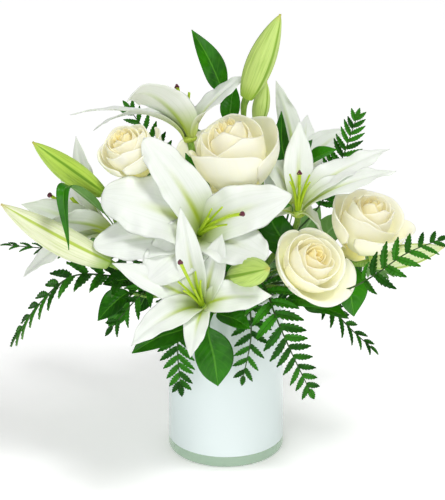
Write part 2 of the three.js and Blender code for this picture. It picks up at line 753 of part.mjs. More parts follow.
const LEAFY_STEMS = [
  {
    name: "leaves_left_low",
    leaves: [-32, -30],
    via: [[174, 292, -56], [152, 296, -66], [132, 292, -70]],
    foliage: [
      { from: 0.6, base: [188, 326, -84], tip: [133, 352, -104], half: 13, faces: [0, 0.5, 0.9] },
      { from: 0.7, base: [176, 310, -72], tip: [142, 336, -78], half: 11, faces: [0, 0.5, 0.9] },
      { from: 0.93, base: [130, 292, -78], tip: [99, 320, -84], half: 11, faces: [-0.2, 0.5, 0.9] },
      { from: 0.97, base: [130, 300, -66], tip: [109, 326, -60], half: 8, faces: [0.3, 0.4, 0.9] },
      { from: 0.85, base: [150, 288, -62], tip: [138, 312, -64], half: 8, faces: [0.2, 0.5, 0.9] },
      { from: 0.9, base: [138, 280, -58], tip: [104, 284, -66], half: 10, faces: [-0.1, 0.5, 0.8] },
    ],
  },
  {
    name: "leaves_front",
    leaves: [-2, -45],
    via: [[216, 300, -62], [214, 312, -76]],
    foliage: [
      { from: 0.97, base: [208, 326, -86], tip: [218, 385, -90], half: 17, faces: [0.1, 0.2, 1] },
      { from: 0.9, base: [218, 312, -74], tip: [250, 328, -84], half: 11, faces: [0, 0.6, 0.8] },
      { from: 0.9, base: [222, 304, -58], tip: [262, 303, -72], half: 7, faces: [0, 0.8, 0.5] },
    ],
  },
  {
    name: "leaves_right",
    leaves: [38, -28],
    via: [[286, 288, -46], [312, 290, -56]],
    foliage: [
      { from: 0.97, base: [338, 266, -50], tip: [353, 316, -63], half: 17, faces: [0.4, 0.3, 0.85] },
      { from: 0.8, base: [286, 298, -66], tip: [320, 306, -88], half: 9, faces: [0, 0.5, 0.8] },
      { from: 0.85, base: [304, 306, -56], tip: [348, 318, -62], half: 10, faces: [0, 0.7, 0.7] },
      { from: 0.88, base: [318, 290, -46], tip: [358, 292, -34], half: 11, faces: [0.2, 0.8, 0.5] },
    ],
  },
  {
    name: "leaves_top",
    leaves: [-3, 10],
    via: [[236, 200, 20], [238, 130, 30], [230, 104, 32]],
    foliage: [
      { from: 0.95, base: [224, 94, 30], tip: [192, 32, 26], half: 11, faces: [0.2, 0.1, 1] },
      { from: 0.85, base: [230, 124, 22], tip: [234, 84, 36], half: 9, faces: [-0.2, 0.1, 1] },
      { from: 0.7, base: [214, 160, 30], tip: [196, 128, 52], half: 10, faces: [-0.3, 0.4, -0.9] },
    ],
  },
  {
    name: "leaves_back_left",
    leaves: [-30, 34],
    via: [[176, 240, 56], [160, 210, 66], [150, 190, 70]],
    foliage: [
      { from: 0.98, base: [148, 186, 72], tip: [132, 146, 84], half: 12, faces: [-0.3, 0.3, -0.9] },
      { from: 0.85, base: [146, 214, 74], tip: [100, 212, 96], half: 13, faces: [-0.3, 0.5, -0.8] },
      { from: 0.72, base: [176, 240, 74], tip: [160, 282, 104], half: 14, faces: [-0.2, 0.3, -0.9] },
    ],
  },
  {
    name: "leaves_back_right",
    leaves: [24, 33],
    via: [[276, 244, 60], [292, 230, 88]],
    foliage: [
      { from: 0.98, base: [300, 236, 96], tip: [322, 206, 120], half: 12, faces: [0.3, 0.3, -0.9] },
      { from: 0.85, base: [312, 246, 62], tip: [352, 214, 62], half: 12, faces: [0.3, 0.6, -0.7] },
      { from: 0.9, base: [284, 258, 96], tip: [272, 300, 118], half: 13, faces: [0.2, 0.3, -0.9] },
    ],
  },
];

// ---- vase and water ----

function vaseBody() {
  const outer = VASE_DIAMETER / 2;
  const inner = outer - GLASS_WALL;
  const profile = [
    [0, 0],
    [outer - 4, 0],
    [outer - 1.2, 1.2],
    [outer, 4],
    [outer, VASE_HEIGHT - 1.2],
    [outer - 1.2, VASE_HEIGHT],
    [inner, VASE_HEIGHT],
    [inner, GLASS_FLOOR + 3],
    [inner - 3, GLASS_FLOOR],
    [0, GLASS_FLOOR],
  ];
  return turned(profile, 24);
}

function waterBody() {
  const reach = VASE_DIAMETER / 2 - GLASS_WALL - ROOM;
  const bottom = GLASS_FLOOR + ROOM;
  const profile = [
    [0, bottom],
    [reach - 3.2, bottom],
    [reach, bottom + 3.2],
    [reach, WATER_LEVEL],
    [0, WATER_LEVEL],
  ];
  return turned(profile, 20);
}

// ---- the whole, piece by piece ----
// Each piece keeps clear of the pieces before it: it is cut by their slightly fatter copies.

const pieces = [{ name: "vase", colour: 0xf1f5f4, build: vaseBody }];
for (const lily of LILIES) {
  pieces.push({ name: `${lily.name}_stem`, colour: STEM_GREEN, build: (pad) => lilyStem(lily, pad) });
}
for (const rose of ROSES) {
  pieces.push({ name: `${rose.name}_stem`, colour: STEM_GREEN, build: (pad) => roseStem(rose, pad) });
}
for (const bud of BUDS) {
  pieces.push({ name: bud.name, colour: 0xb9d65a, build: (pad) => budBody(bud, pad) });
}
for (const rose of ROSES) {
  pieces.push({ name: `${rose.name}_head`, colour: ROSE_CREAM, build: (pad) => roseHead(rose, pad) });
}
for (const lily of LILIES) {
  pieces.push({ name: `${lily.name}_petals`, colour: PETAL_WHITE, build: (pad) => lilyPetals(lily, pad) });
}
for (const fern of FERNS) {
  pieces.push({ name: fern.name, colour: FERN_GREEN, build: (pad) => frond(fern, pad) });
}
for (const spray of LEAFY_STEMS) {
  pieces.push({ name: spray.name, colour: LEAF_GREEN, build: (pad) => leafyStem(spray, pad) });
}
pieces.push({ name: "water", colour: 0xdfeeee, build: waterBody });

const boxOf = (solid) => {
  const { min, max } = solid.boundingBox();
  return new THREE.Box3(new THREE.Vector3(...min), new THREE.Vector3(...max));
};

// The largest body of a solid, without loose scraps and with sealed hollows filled.
function wholeOf(solid) {
  const bodies = solid.decompose().filter((body) => body.volume() > 0);
  return bodies.reduce((largest, body) => (body.volume() > largest.volume() ? body : largest));
}

const group = new THREE.Group();
const rooms = [];
for (const { name, colour, build } of pieces) {
  let solid = build(0);
  const box = boxOf(solid);
  for (const room of rooms) {
    if (room.box.intersectsBox(box)) solid = solid.subtract(room.solid);
  }
  const room = build(ROOM);
  rooms.push({ solid: room, box: boxOf(room) });
  const { vertProperties, triVerts } = wholeOf(solid).simplify(MERGE_WITHIN).getMesh();
  const geometry = new THREE.BufferGeometry();
  geometry.setAttribute("position", new THREE.BufferAttribute(vertProperties, 3));
  geometry.setIndex(new THREE.BufferAttribute(triVerts, 1));
  const material = new THREE.MeshStandardMaterial({ color: colour, roughness: 0.6, metalness: 0 });
  const mesh = new THREE.Mesh(geometry, material);
  mesh.name = name;
  group.add(mesh);
}

export default group;
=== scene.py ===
"""A mixed bouquet of white lilies, cream roses, fern and broad leaves in a white glass cylinder vase.

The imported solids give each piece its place. Every flower, bud, frond and leafy stem is drawn again here
as fine surfaces worked out with numpy on the same curves, and stands for its solid. Metres, +Z up, and the
front towards -Y.
"""

import math

import bpy
import numpy as np
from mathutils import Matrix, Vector


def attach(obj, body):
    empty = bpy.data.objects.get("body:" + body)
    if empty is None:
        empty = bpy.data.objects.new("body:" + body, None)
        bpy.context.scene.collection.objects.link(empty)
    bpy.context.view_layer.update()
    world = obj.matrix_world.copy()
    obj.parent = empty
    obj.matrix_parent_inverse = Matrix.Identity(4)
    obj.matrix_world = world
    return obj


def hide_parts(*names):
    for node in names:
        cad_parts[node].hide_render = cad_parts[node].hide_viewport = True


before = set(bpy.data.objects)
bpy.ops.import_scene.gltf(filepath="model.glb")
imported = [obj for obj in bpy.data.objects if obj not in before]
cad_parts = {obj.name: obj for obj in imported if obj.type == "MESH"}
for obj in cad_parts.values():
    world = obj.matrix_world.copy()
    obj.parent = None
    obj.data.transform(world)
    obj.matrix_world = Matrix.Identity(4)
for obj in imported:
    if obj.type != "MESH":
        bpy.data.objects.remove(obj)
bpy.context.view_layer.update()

MM = 0.001

# Vase and water, millimetres.
VASE_RADIUS = 51.0
VASE_HEIGHT = 157.0
GLASS_WALL = 3.7
GLASS_FLOOR = 14.0
COAT_FOOT = 11.0  # the white coat starts this far up the glass
WATER_LEVEL = 118.0
MOUTH_REACH = 41.0  # how far from the axis a stem leaves the mouth
LIP_CLEARANCE = 5.0  # how far over the lip a stem goes straight
FOOT_SPREAD = 0.7  # a stem's foot is this much nearer the axis
FOOT_ROOM = 0.8  # between a stem's foot and the vase's floor
WATER_ROOM = 0.4  # between the water and the glass

# Stems and blades, millimetres.
LILY_STALK_RADIUS = 2.8
ROSE_STALK_RADIUS = 2.5
LEAFY_STALK_RADIUS = 1.7
PETAL_THICKNESS = 0.9
LEAF_THICKNESS = 0.7
LEAFLET_THICKNESS = 0.45
UPPER, UNDER = 0, 1  # the material slots of a blade's two faces

# The photograph's frame: the vase's axis, the middle of its foot, its scale and the view's tilt.
AXIS_COLUMN = 226
BASE_ROW = 445
MM_PER_PIXEL = 0.88
TILT = math.radians(25)
PHOTO_WIDTH = 445
PHOTO_HEIGHT = 500
CAMERA_DISTANCE = 6.0

LILY_PARTS = 6  # petals, and as many filaments
# A lily's inner and outer whorl: the ring's radius in mm, the rise along the axis, and what the bulge gains.
WHORLS = ((4.5, 0.3, 0.03), (5.7, 0.26, -0.04))
ROSE_PETALS = 19
ROSE_SEPALS = 5
GOLDEN_ANGLE = math.radians(137.5)  # from one rose petal to the next
PAIRS_FACTOR = 1.75  # pairs of leaflets on a fine frond for each pair on its solid
LEAFLET_LOBES = 6.0
GROWTH_SEED = 20


def rows(fields, *records):
    """A table as dicts, its fields named once. A record may stop before the last fields."""
    return [dict(zip(fields.split(), record)) for record in records]


# ---- what stands where ----
# Each place is (column, row, depth in mm behind the vase's axis), each facing is (right, up, near), and
# `leaves` is where a stem leaves the vase's mouth, (x, y) in mm. `start` is the way along the stem at which
# a stalk or leaf starts. A lily's petals are given by their tips: (column, row, depth, half width, bulge,
# wave), and then a dict where the petal is fuller or twisted: `full` is the power of its width, smaller
# for a blunter petal, and `twist` its turn from claw to tip in radians.
# `half` is a half width and `reach` a reach to the side in mm. A leaf's `bulge` raises its shoulder by a
# share of its length, and a bud's `bow` bends its middle up by millimetres; `green` is 0 in a cream bud
# and 1 in a green one. In a rose the lips `roll` out and the petals are `shut` over the heart by a share of
# its reach, the outermost are `open` by a share of its height, and `turn` is where its petals start in
# radians. The `bare` share of a fern's stem has no leaflets, and `pairs` counts those of its solid.

LEAF = "start base tip half faces bulge"

LILIES = [
    dict(
        name="lily_front", base=(203, 305, -96), faces=(-0.2, 0.35, 0.9), leaves=(-11, -37),
        via=[(214, 296, -58)], stigma=(180.5, 260, -138),
        petals=[
            (181, 208, -84, 12, 0.12, 1), (222, 234, -88, 14, 0.16, 1), (271, 295, -112, 15, 0.25, 1.5),
            (191, 355, -160, 11, 0.2, 1), (133, 344, -146, 15, 0.36, 1.5), (114, 263, -98, 13, 0.2, 1),
        ],
        stalks=[dict(bud="bud_centre", start=0.82, via=[(224, 284, -66)])],
    ),
    dict(
        name="lily_centre", base=(199, 235, -56), faces=(0.15, 0.35, 0.9), leaves=(-13, -24),
        stigma=(244, 215, -112),
        petals=[
            (103, 196, -66, 30, 0.2, 3.5, dict(full=0.42)),
            (145, 140, -49, 20, 0.26, 2.5, dict(full=0.5)),
            (291, 196, -66, 23, 0.22, 2.5, dict(full=0.7)), (95, 246, -84, 22, 0.2, 2.5, dict(full=0.55)),
            (148, 280, -104, 23, 0.28, 3, dict(full=0.42)),
            (266, 259, -104, 24, 0.25, 3.5, dict(full=0.5)),
        ],
        foliage=rows(
            LEAF,
            (0.9, (206, 206, -32), (186, 154, -26), 9, (0, 0, 1)),
            (0.75, (218, 268, -54), (238, 244, -60), 10, (0.2, 0.4, 0.9)),
        ),
    ),
    dict(
        name="lily_right", base=(297, 213, -42), faces=(0.05, 0.75, 0.65), leaves=(25, -17),
        stigma=(298, 174, -60),
        petals=[
            (299, 122, 6, 13, 0.08, 1), (388, 150, -12, 14, 0.14, 2), (394, 172, -44, 14, 0.2, 2),
            (264, 150, 26, 12, 0.1, 1), (262, 214, -40, 12, 0.3, 1), (326, 240, -30, 11, 0.35, 1),
        ],
        stalks=[dict(bud="bud_right", start=0.62, via=[(300, 262, -42)])],
        foliage=rows(
            LEAF,
            (0.8, (291, 192, 2), (281, 112, 22), 10, (-0.4, 0.2, 0.9)),
            (0.84, (290, 206, -50), (244, 230, -76), 5, (0, 0.6, 0.8)),
            (0.66, (290, 258, -34), (262, 198, -24), 15, (-0.2, 0, 1)),
        ),
    ),
    dict(
        name="lily_upper_left", base=(190, 140, 2), faces=(-0.2, 0.95, 0.1), leaves=(-9, -2),
        stigma=(177, 88, 10),
        petals=[
            (128, 104, -22, 20, 0.5, 1, dict(full=0.8, twist=0.7)), (70, 116, 12, 10, 0.25, 1),
            (243, 78, 16, 15, 0.2, 1, dict(full=0.8, twist=0.8)), (93, 131, 44, 9, 0.3, 1),
            (168, 108, 78, 14, 0.3, 1), (226, 104, 66, 11, 0.3, 1),
        ],
    ),
    dict(
        name="lily_left", base=(112, 234, -28), faces=(-0.83, 0.5, 0.15), leaves=(-41, -9),
        stigma=(50, 194.5, -30),
        petals=[
            (77, 137, 4, 12, 0.1, 1, dict(twist=1.2)), (24, 205, -56, 14, 0.2, 1, dict(twist=0.5)),
            (25, 277, -48, 12, 0.25, 1, dict(twist=-0.9)), (60, 168, 44, 12, 0.2, 1),
            (40, 235, 26, 12, 0.25, 1), (46, 226, -70, 13, 0.3, 1),
        ],
        stalks=[
            dict(bud="bud_left_pale", start=0.66, via=[(120, 268, -50)]),
            dict(bud="bud_left_green", start=0.8, via=[(125, 240, -46), (113, 210, -42)]),
        ],
        foliage=rows(
            LEAF,
            (0.93, (106, 214, -46), (72, 250, -112), 7, (-0.3, 0.7, 0.6), 0.75),
        ),
    ),
    dict(
        name="lily_upper_right", base=(299, 170, 18), faces=(0.1, 0.45, -0.85), leaves=(20, 3),
        stigma=(300, 160, 84),
        petals=[
            (276, 81, 52, 10, 0.2, 1), (308, 114, 88, 10, 0.2, 1), (347, 128, 66, 14, 0.2, 1),
            (264, 192, 82, 13, 0.2, 1), (342, 188, 84, 13, 0.2, 1), (304, 196, 100, 13, 0.25, 1),
        ],
        stalks=[
            dict(bud="bud_top", start=0.55, via=[(246, 190, 14), (244, 130, 12)]),
            dict(bud="bud_top_back", start=0.6, via=[(262, 190, 26), (258, 150, 30)]),
        ],
        foliage=rows(
            LEAF,
            (0.9, (304, 166, 2), (336, 150, -8), 8, (0.1, 0.6, 0.8)),
            (0.86, (292, 172, -2), (312, 140, 22), 7, (-0.2, 0.5, 0.8)),
        ),
    ),
]

BUDS = rows(
    "name green base tip half bow",
    ("bud_left_pale", 0.12, (110, 262, -74), (5, 205, -78), 13.8, -6),
    ("bud_left_green", 0.92, (103, 193, -38), (36, 144, -54), 11.5, -3),
    ("bud_top", 0.75, (247, 98, 10), (279.5, 18, 4), 13),
    ("bud_top_back", 0.7, (258, 124, 30), (266, 82, 34), 8),
    ("bud_centre", 0.8, (233, 275, -84), (268, 268, -134), 13.5),
    ("bud_right", 0.3, (368, 262, -50), (442, 247, -44), 11, -2),
)

ROSES = [
    dict(
        name="rose_centre", base=(243, 200, -18), faces=(-0.2, 0.86, 0.48), reach=33, height=80,
        roll=0.16, shut=0.16, open=0.28, turn=3.35, leaves=(5, -10),
    ),
    dict(
        name="rose_left", base=(141, 173, -26), faces=(-0.38, 0.72, 0.58), reach=28, height=46, shut=0.08,
        open=0.0, leaves=(-27, -4),
    ),
    dict(
        name="rose_front_right", base=(294, 279, -62), faces=(0.46, 0.48, 0.74), reach=30, height=48,
        open=0.3, leaves=(20, -36),
    ),
    dict(
        name="rose_right", base=(352, 254, -28), faces=(0.34, 0.78, 0.52), reach=29, height=61, open=0.18,
        leaves=(41, -8),
    ),
]

FERNS = rows(
    "name leaves faces bare pairs reach via",
    ("fern_top_right", (32, 10), (0, 0, 1), 0.7, 8, 18, [(320, 205, 26), (342, 158, 16), (357, 115, 18)]),
    (
        "fern_right", (41, -23), (0, 0.4, 0.9), 0.76, 4, 20,
        [(340, 290, -76), (370, 276, -98), (402, 254, -98), (438, 239, -80)],
    ),
    (
        "fern_front_right", (28, -32), (0, 0.2, 1), 0.56, 7, 24,
        [(264, 286, -66), (276, 318, -94), (291, 352, -90), (310, 391, -78)],
    ),
    (
        "fern_front", (9, -44), (0, 0.2, 1), 0.58, 5, 20,
        [(246, 292, -57), (251, 332, -67), (243, 378, -66)],
    ),
    (
        "fern_right_low", (42, 8), (0.3, 0.7, 0.6), 0.62, 5, 20,
        [(294, 272, 0), (322, 298, -8), (350, 328, -12), (373, 349, -14)],
    ),
    (
        "fern_left_low", (-40, -21), (0.1, 0.8, 0.5), 0.52, 7, 29,
        [(116, 276, -56), (74, 276, -62), (40, 304, -60), (17, 336, -56)],
    ),
    (
        "fern_left_front", (-36, -28), (-0.1, 0.5, 0.85), 0.56, 5, 22,
        [(156, 282, -76), (138, 298, -88), (112, 328, -86)],
    ),
    ("fern_left", (-44, 2), (0, 0.9, 0.4), 0.62, 6, 18, [(130, 260, -10), (60, 250, -8), (8, 245, -6)]),
    (
        "fern_front_left", (-21, -39), (-0.1, 0.3, 0.95), 0.54, 8, 23,
        [(184, 306, -66), (178, 345, -76), (181, 387, -74)],
    ),
    (
        "fern_upper_left", (-24, 12), (0, 0.2, 1), 0.72, 5, 18,
        [(168, 180, 40), (148, 136, 54), (127, 106, 62)],
    ),
    (
        "fern_back_left", (-36, 22), (-0.2, 0.9, -0.3), 0.52, 5, 34,
        [(150, 250, 60), (110, 240, 96), (80, 250, 120)],
    ),
    (
        "fern_back", (2, 42), (0, 0.9, -0.4), 0.52, 5, 36,
        [(228, 230, 78), (226, 220, 112), (222, 238, 135)],
    ),
    (
        "fern_back_right", (36, 26), (0.2, 0.9, -0.3), 0.54, 5, 34,
        [(312, 262, 52), (348, 258, 76), (380, 272, 92)],
    ),
)

LEAFY_STEMS = [
    dict(
        name="leaves_left_low", leaves=(-32, -30),
        via=[(174, 292, -56), (152, 296, -66), (132, 292, -70)],
        foliage=rows(
            LEAF,
            (0.6, (188, 326, -84), (133, 352, -104), 13, (0, 0.5, 0.9)),
            (0.7, (176, 310, -72), (142, 336, -78), 11, (0, 0.5, 0.9)),
            (0.93, (130, 292, -78), (99, 320, -84), 11, (-0.2, 0.5, 0.9)),
            (0.97, (130, 300, -66), (109, 326, -60), 8, (0.3, 0.4, 0.9)),
            (0.85, (150, 288, -62), (138, 312, -64), 8, (0.2, 0.5, 0.9)),
            (0.9, (138, 280, -58), (104, 284, -66), 10, (-0.1, 0.5, 0.8)),
        ),
    ),
    dict(
        name="leaves_front", leaves=(-2, -45), via=[(216, 300, -62), (214, 312, -76)],
        foliage=rows(
            LEAF,
            (0.97, (208, 326, -86), (218, 385, -90), 17, (0.1, 0.2, 1)),
            (0.9, (218, 312, -74), (250, 328, -84), 11, (0, 0.6, 0.8)),
            (0.9, (222, 304, -58), (262, 303, -72), 7, (0, 0.8, 0.5)),
        ),
    ),
    dict(
        name="leaves_right", leaves=(38, -28), via=[(286, 288, -46), (312, 290, -56)],
        foliage=rows(
            LEAF,
            (0.97, (338, 266, -50), (353, 316, -63), 17, (0.4, 0.3, 0.85)),
            (0.8, (286, 298, -66), (320, 306, -88), 9, (0, 0.5, 0.8)),
            (0.85, (304, 306, -56), (348, 318, -62), 10, (0, 0.7, 0.7)),
            (0.88, (318, 290, -46), (358, 292, -34), 11, (0.2, 0.8, 0.5)),
        ),
    ),
    dict(
        name="leaves_top", leaves=(-3, 10), via=[(236, 200, 20), (238, 130, 30), (230, 104, 32)],
        foliage=rows(
            LEAF,
            (0.95, (224, 94, 30), (192, 32, 26), 11, (0.2, 0.1, 1)),
            (0.85, (230, 124, 22), (234, 84, 36), 9, (-0.2, 0.1, 1)),
            (0.7, (214, 160, 30), (196, 128, 52), 10, (-0.3, 0.4, -0.9)),
        ),
    ),
    dict(
        name="leaves_back_left", leaves=(-30, 34), via=[(176, 240, 56), (160, 210, 66), (150, 190, 70)],
        foliage=rows(
            LEAF,
            (0.98, (148, 186, 72), (132, 146, 84), 12, (-0.3, 0.3, -0.9)),
            (0.85, (146, 214, 74), (100, 212, 96), 13, (-0.3, 0.5, -0.8)),
            (0.72, (176, 240, 74), (160, 282, 104), 14, (-0.2, 0.3, -0.9)),
        ),
    ),
    dict(
        name="leaves_back_right", leaves=(24, 33), via=[(276, 244, 60), (292, 230, 88)],
        foliage=rows(
            LEAF,
            (0.98, (300, 236, 96), (322, 206, 120), 12, (0.3, 0.3, -0.9)),
            (0.85, (312, 246, 62), (352, 214, 62), 12, (0.3, 0.6, -0.7)),
            (0.9, (284, 258, 96), (272, 300, 118), 13, (0.2, 0.3, -0.9)),
        ),
    ),
]


# ---- finishes ----

# Inputs go by number. Map Range takes a value, the two ends it comes from and the two it goes to. Mix takes
# a share and two colours. Multiply Add takes a value, a factor and what is added.
EASED = {"interpolation_type": "SMOOTHSTEP"}  # a Map Range node that eases in and out


def linear(code):
    """An sRGB hex colour turned to linear light, with full alpha."""
    channels = [int(code[k : k + 2], 16) / 255 for k in (0, 2, 4)]
    return tuple(c / 12.92 if c <= 0.04045 else ((c + 0.055) / 1.055) ** 2.4 for c in channels) + (1.0,)


def add(tree, kind, inputs=None, out=0, **settings):
    """Adds a node: settings go on it, and each input gets a value, a hex colour or a link. One of its
    outputs comes back, or the node itself where `out` is None."""
    node = tree.nodes.new("ShaderNode" + kind)
    for name, value in settings.items():
        setattr(node, name, value)
    for key, value in (inputs or {}).items():
        if isinstance(value, bpy.types.NodeSocket):
            tree.links.new(value, node.inputs[key])
        else:
            node.inputs[key].default_value = linear(value) if isinstance(value, str) else value
    return node if out is None else node.outputs[out]


def finish_of(name, **inputs):
    """A material by name with its shader's own sockets set, and its node tree."""
    material = bpy.data.materials.new(name)
    material.use_nodes = True
    sockets = material.node_tree.nodes["Principled BSDF"].inputs
    for key, value in inputs.items():
        sockets[key.replace("_", " ")].default_value = linear(value) if isinstance(value, str) else value
    return material, material.node_tree


def dressed(material, colour, relief, strength, depth):
    """The material with its colour, and its relief as bumps `depth` metres high."""
    tree = material.node_tree
    sockets = tree.nodes["Principled BSDF"].inputs
    tree.links.new(colour, sockets["Base Color"])
    bump = add(tree, "Bump", {"Height": relief, "Strength": strength, "Distance": depth})
    tree.links.new(bump, sockets["Normal"])
    return material


def streaked(tree, points, scale):
    """Noise drawn out into streaks: the points are multiplied by the scale, which is small along them."""
    stretched = add(tree, "Mapping", {"Vector": points, "Scale": scale})
    return add(tree, "TexNoise", {"Vector": stretched, "Scale": 1.0, "Detail": 2.0})


def growth_places(tree):
    """Where a point lies on its blade: the UVs, the share along it, the share aside from its midrib, and
    the blade's own shade."""
    uv = add(tree, "UVMap", uv_map="growth")
    split = add(tree, "SeparateXYZ", {0: uv}, out=None)
    centred = add(tree, "Math", {0: split.outputs[0], 1: 2.0, 2: -1.0}, operation="MULTIPLY_ADD")
    aside = add(tree, "Math", {0: centred}, operation="ABSOLUTE")
    shade = add(tree, "Attribute", out="Fac", attribute_name="shade")
    return uv, split.outputs[1], aside, shade


def petal_finish(name, under):
    """Lily tepals: waxy white cells with faint lengthways veins, a yellow-green throat that runs up the
    midrib, and a greener midrib outside. Thin enough for light to glow through, and a faint painted glow
    of their own lightens their shade."""
    material, tree = finish_of(
        name,
        Roughness=0.5,
        Subsurface_Weight=0.25,
        Subsurface_Radius=(0.004, 0.005, 0.0035),
        Subsurface_Scale=1.0,
        Sheen_Weight=0.12,
        Sheen_Roughness=0.5,
        # A faint painted glow of the petals' own, which lightens their shade.
        Emission_Color="f4fff4",
        Emission_Strength=0.015,
    )
    uv, along, aside, shade = growth_places(tree)
    # Veins run lengthways about 1 mm apart, so the pattern is far longer than it is wide.
    stretched = add(tree, "Mapping", {"Vector": uv, "Scale": (34.0, 1.6, 1.0)})
    # The shade picks another slice of the noise for each petal.
    drift = add(tree, "Math", {0: shade, 1: 40.0}, operation="MULTIPLY")
    noise = {"Vector": stretched, "W": drift, "Scale": 1.0, "Detail": 2.0}
    veins = add(tree, "TexNoise", noise, noise_dimensions="4D")
    vein = add(tree, "MapRange", {0: veins, 1: 0.42, 2: 0.75, 3: 0.0, 4: 0.4 if under else 0.3}, **EASED)
    colour = add(tree, "MixRGB", {0: vein, 1: "ecf2e9", 2: "d4dfcd"})
    rib_end, rib_half = (0.95, 0.22) if under else (0.78, 0.24)
    rib_reach = add(tree, "MapRange", {0: along, 1: 0.12, 2: rib_end, 3: 1.0, 4: 0.0}, **EASED)
    rib_line = add(tree, "MapRange", {0: aside, 1: 0.02, 2: rib_half, 3: 1.0, 4: 0.0}, **EASED)
    rib = add(tree, "Math", {0: rib_reach, 1: rib_line}, operation="MULTIPLY")
    colour = add(tree, "MixRGB", {0: rib, 1: colour, 2: "a9c34a" if under else "b2c61e"})
    spread = add(tree, "Math", {0: aside, 1: 0.12, 2: along}, operation="MULTIPLY_ADD")
    throat = add(tree, "MapRange", {0: spread, 1: 0.08, 2: 0.5, 3: 0.95, 4: 0.0}, **EASED)
    colour = add(tree, "MixRGB", {0: throat, 1: colour, 2: "a2b912"})
    return dressed(material, colour, veins, 0.2, 0.0005)


def rose_finish():
    """Garden rose petals: velvety cream, yellower in the heart and at the claws, paler at the lips. A
    painted glow of their own lightens their shade.
    """
    material, tree = finish_of(
        "rose_petal_cream_velvet",
        Roughness=0.62,
        Subsurface_Weight=0.55,
        Subsurface_Radius=(0.009, 0.008, 0.005),
        Subsurface_Scale=1.0,
        Sheen_Weight=0.1,
        Sheen_Roughness=0.4,
        # A painted glow of the petals' own, which lightens the shade between them.
        Emission_Color="fff2d0",
        Emission_Strength=0.08,
    )
    uv, along, _, shade = growth_places(tree)
    veins = streaked(tree, uv, (26.0, 2.5, 1.0))
    outer = add(tree, "MapRange", {0: shade, 1: 0.0, 2: 0.75}, **EASED)
    lip = add(tree, "MixRGB", {0: outer, 1: "fff0a0", 2: "fcfbe2"})
    claw = add(tree, "MixRGB", {0: outer, 1: "fdee92", 2: "f2f5bc"})
    height = add(tree, "MapRange", {0: along, 1: 0.1, 2: 0.85}, **EASED)
    colour = add(tree, "MixRGB", {0: height, 1: claw, 2: lip})
    vein = add(tree, "MapRange", {0: veins, 1: 0.5, 2: 0.75, 3: 0.0, 4: 0.25}, **EASED)
    colour = add(tree, "MixRGB", {0: vein, 1: colour, 2: "f1eecd"})
    return dressed(material, colour, veins, 0.2, 0.0005)


def leaf_finish(name, dark, light, vein_colour, roughness, coat, veins_apart):
    """Leaves: a wax-coated blade with a paler midrib. On broad leaves side veins sweep forward."""
    skin = dict(Roughness=roughness, Coat_Weight=coat, Coat_Roughness=0.2, Specular_IOR_Level=0.16)
    material, tree = finish_of(name, **skin)
    _, along, aside, shade = growth_places(tree)
    place_in = add(tree, "TexCoord", out="Object")
    mottle = add(tree, "TexNoise", {"Vector": place_in, "Scale": 70.0, "Detail": 3.0})
    mixed = add(tree, "Math", {0: shade, 1: 0.6, 2: mottle}, operation="MULTIPLY_ADD")
    tone = add(tree, "MapRange", {0: mixed, 1: 0.35, 2: 1.15}, **EASED)
    colour = add(tree, "MixRGB", {0: tone, 1: dark, 2: light})
    rib = add(tree, "MapRange", {0: aside, 1: 0.02, 2: 0.09, 3: 0.75, 4: 0.0}, **EASED)
    height = rib
    if veins_apart:
        swept = add(tree, "Math", {0: aside, 1: -1.7}, operation="MULTIPLY")
        row = add(tree, "Math", {0: along, 1: veins_apart, 2: swept}, operation="MULTIPLY_ADD")
        wrapped = add(tree, "Math", {0: row}, operation="FRACT")
        near = add(tree, "Math", {0: wrapped, 1: 0.5}, operation="SUBTRACT")
        near = add(tree, "Math", {0: near}, operation="ABSOLUTE")
        side_vein = add(tree, "MapRange", {0: near, 1: 0.0, 2: 0.12, 3: 0.13, 4: 0.0}, **EASED)
        height = add(tree, "Math", {0: rib, 1: side_vein}, operation="MAXIMUM")
    colour = add(tree, "MixRGB", {0: height, 1: colour, 2: vein_colour})
    grain = add(tree, "TexNoise", {"Vector": place_in, "Scale": 900.0, "Detail": 1.0})
    relief = add(tree, "Math", {0: grain, 1: 0.25, 2: height}, operation="MULTIPLY_ADD")
    return dressed(material, colour, relief, 0.35, 0.0005)


def stem_finish(name, dark, light, roughness):
    """Fresh stems: smooth skin with long pale streaks."""
    material, tree = finish_of(name, Roughness=roughness, IOR=1.45)
    streaks = streaked(tree, add(tree, "TexCoord", out="Object"), (900.0, 900.0, 60.0))
    tone = add(tree, "MapRange", {0: streaks, 1: 0.3, 2: 0.7}, **EASED)
    colour = add(tree, "MixRGB", {0: tone, 1: dark, 2: light})
    return dressed(material, colour, streaks, 0.2, 0.0003)


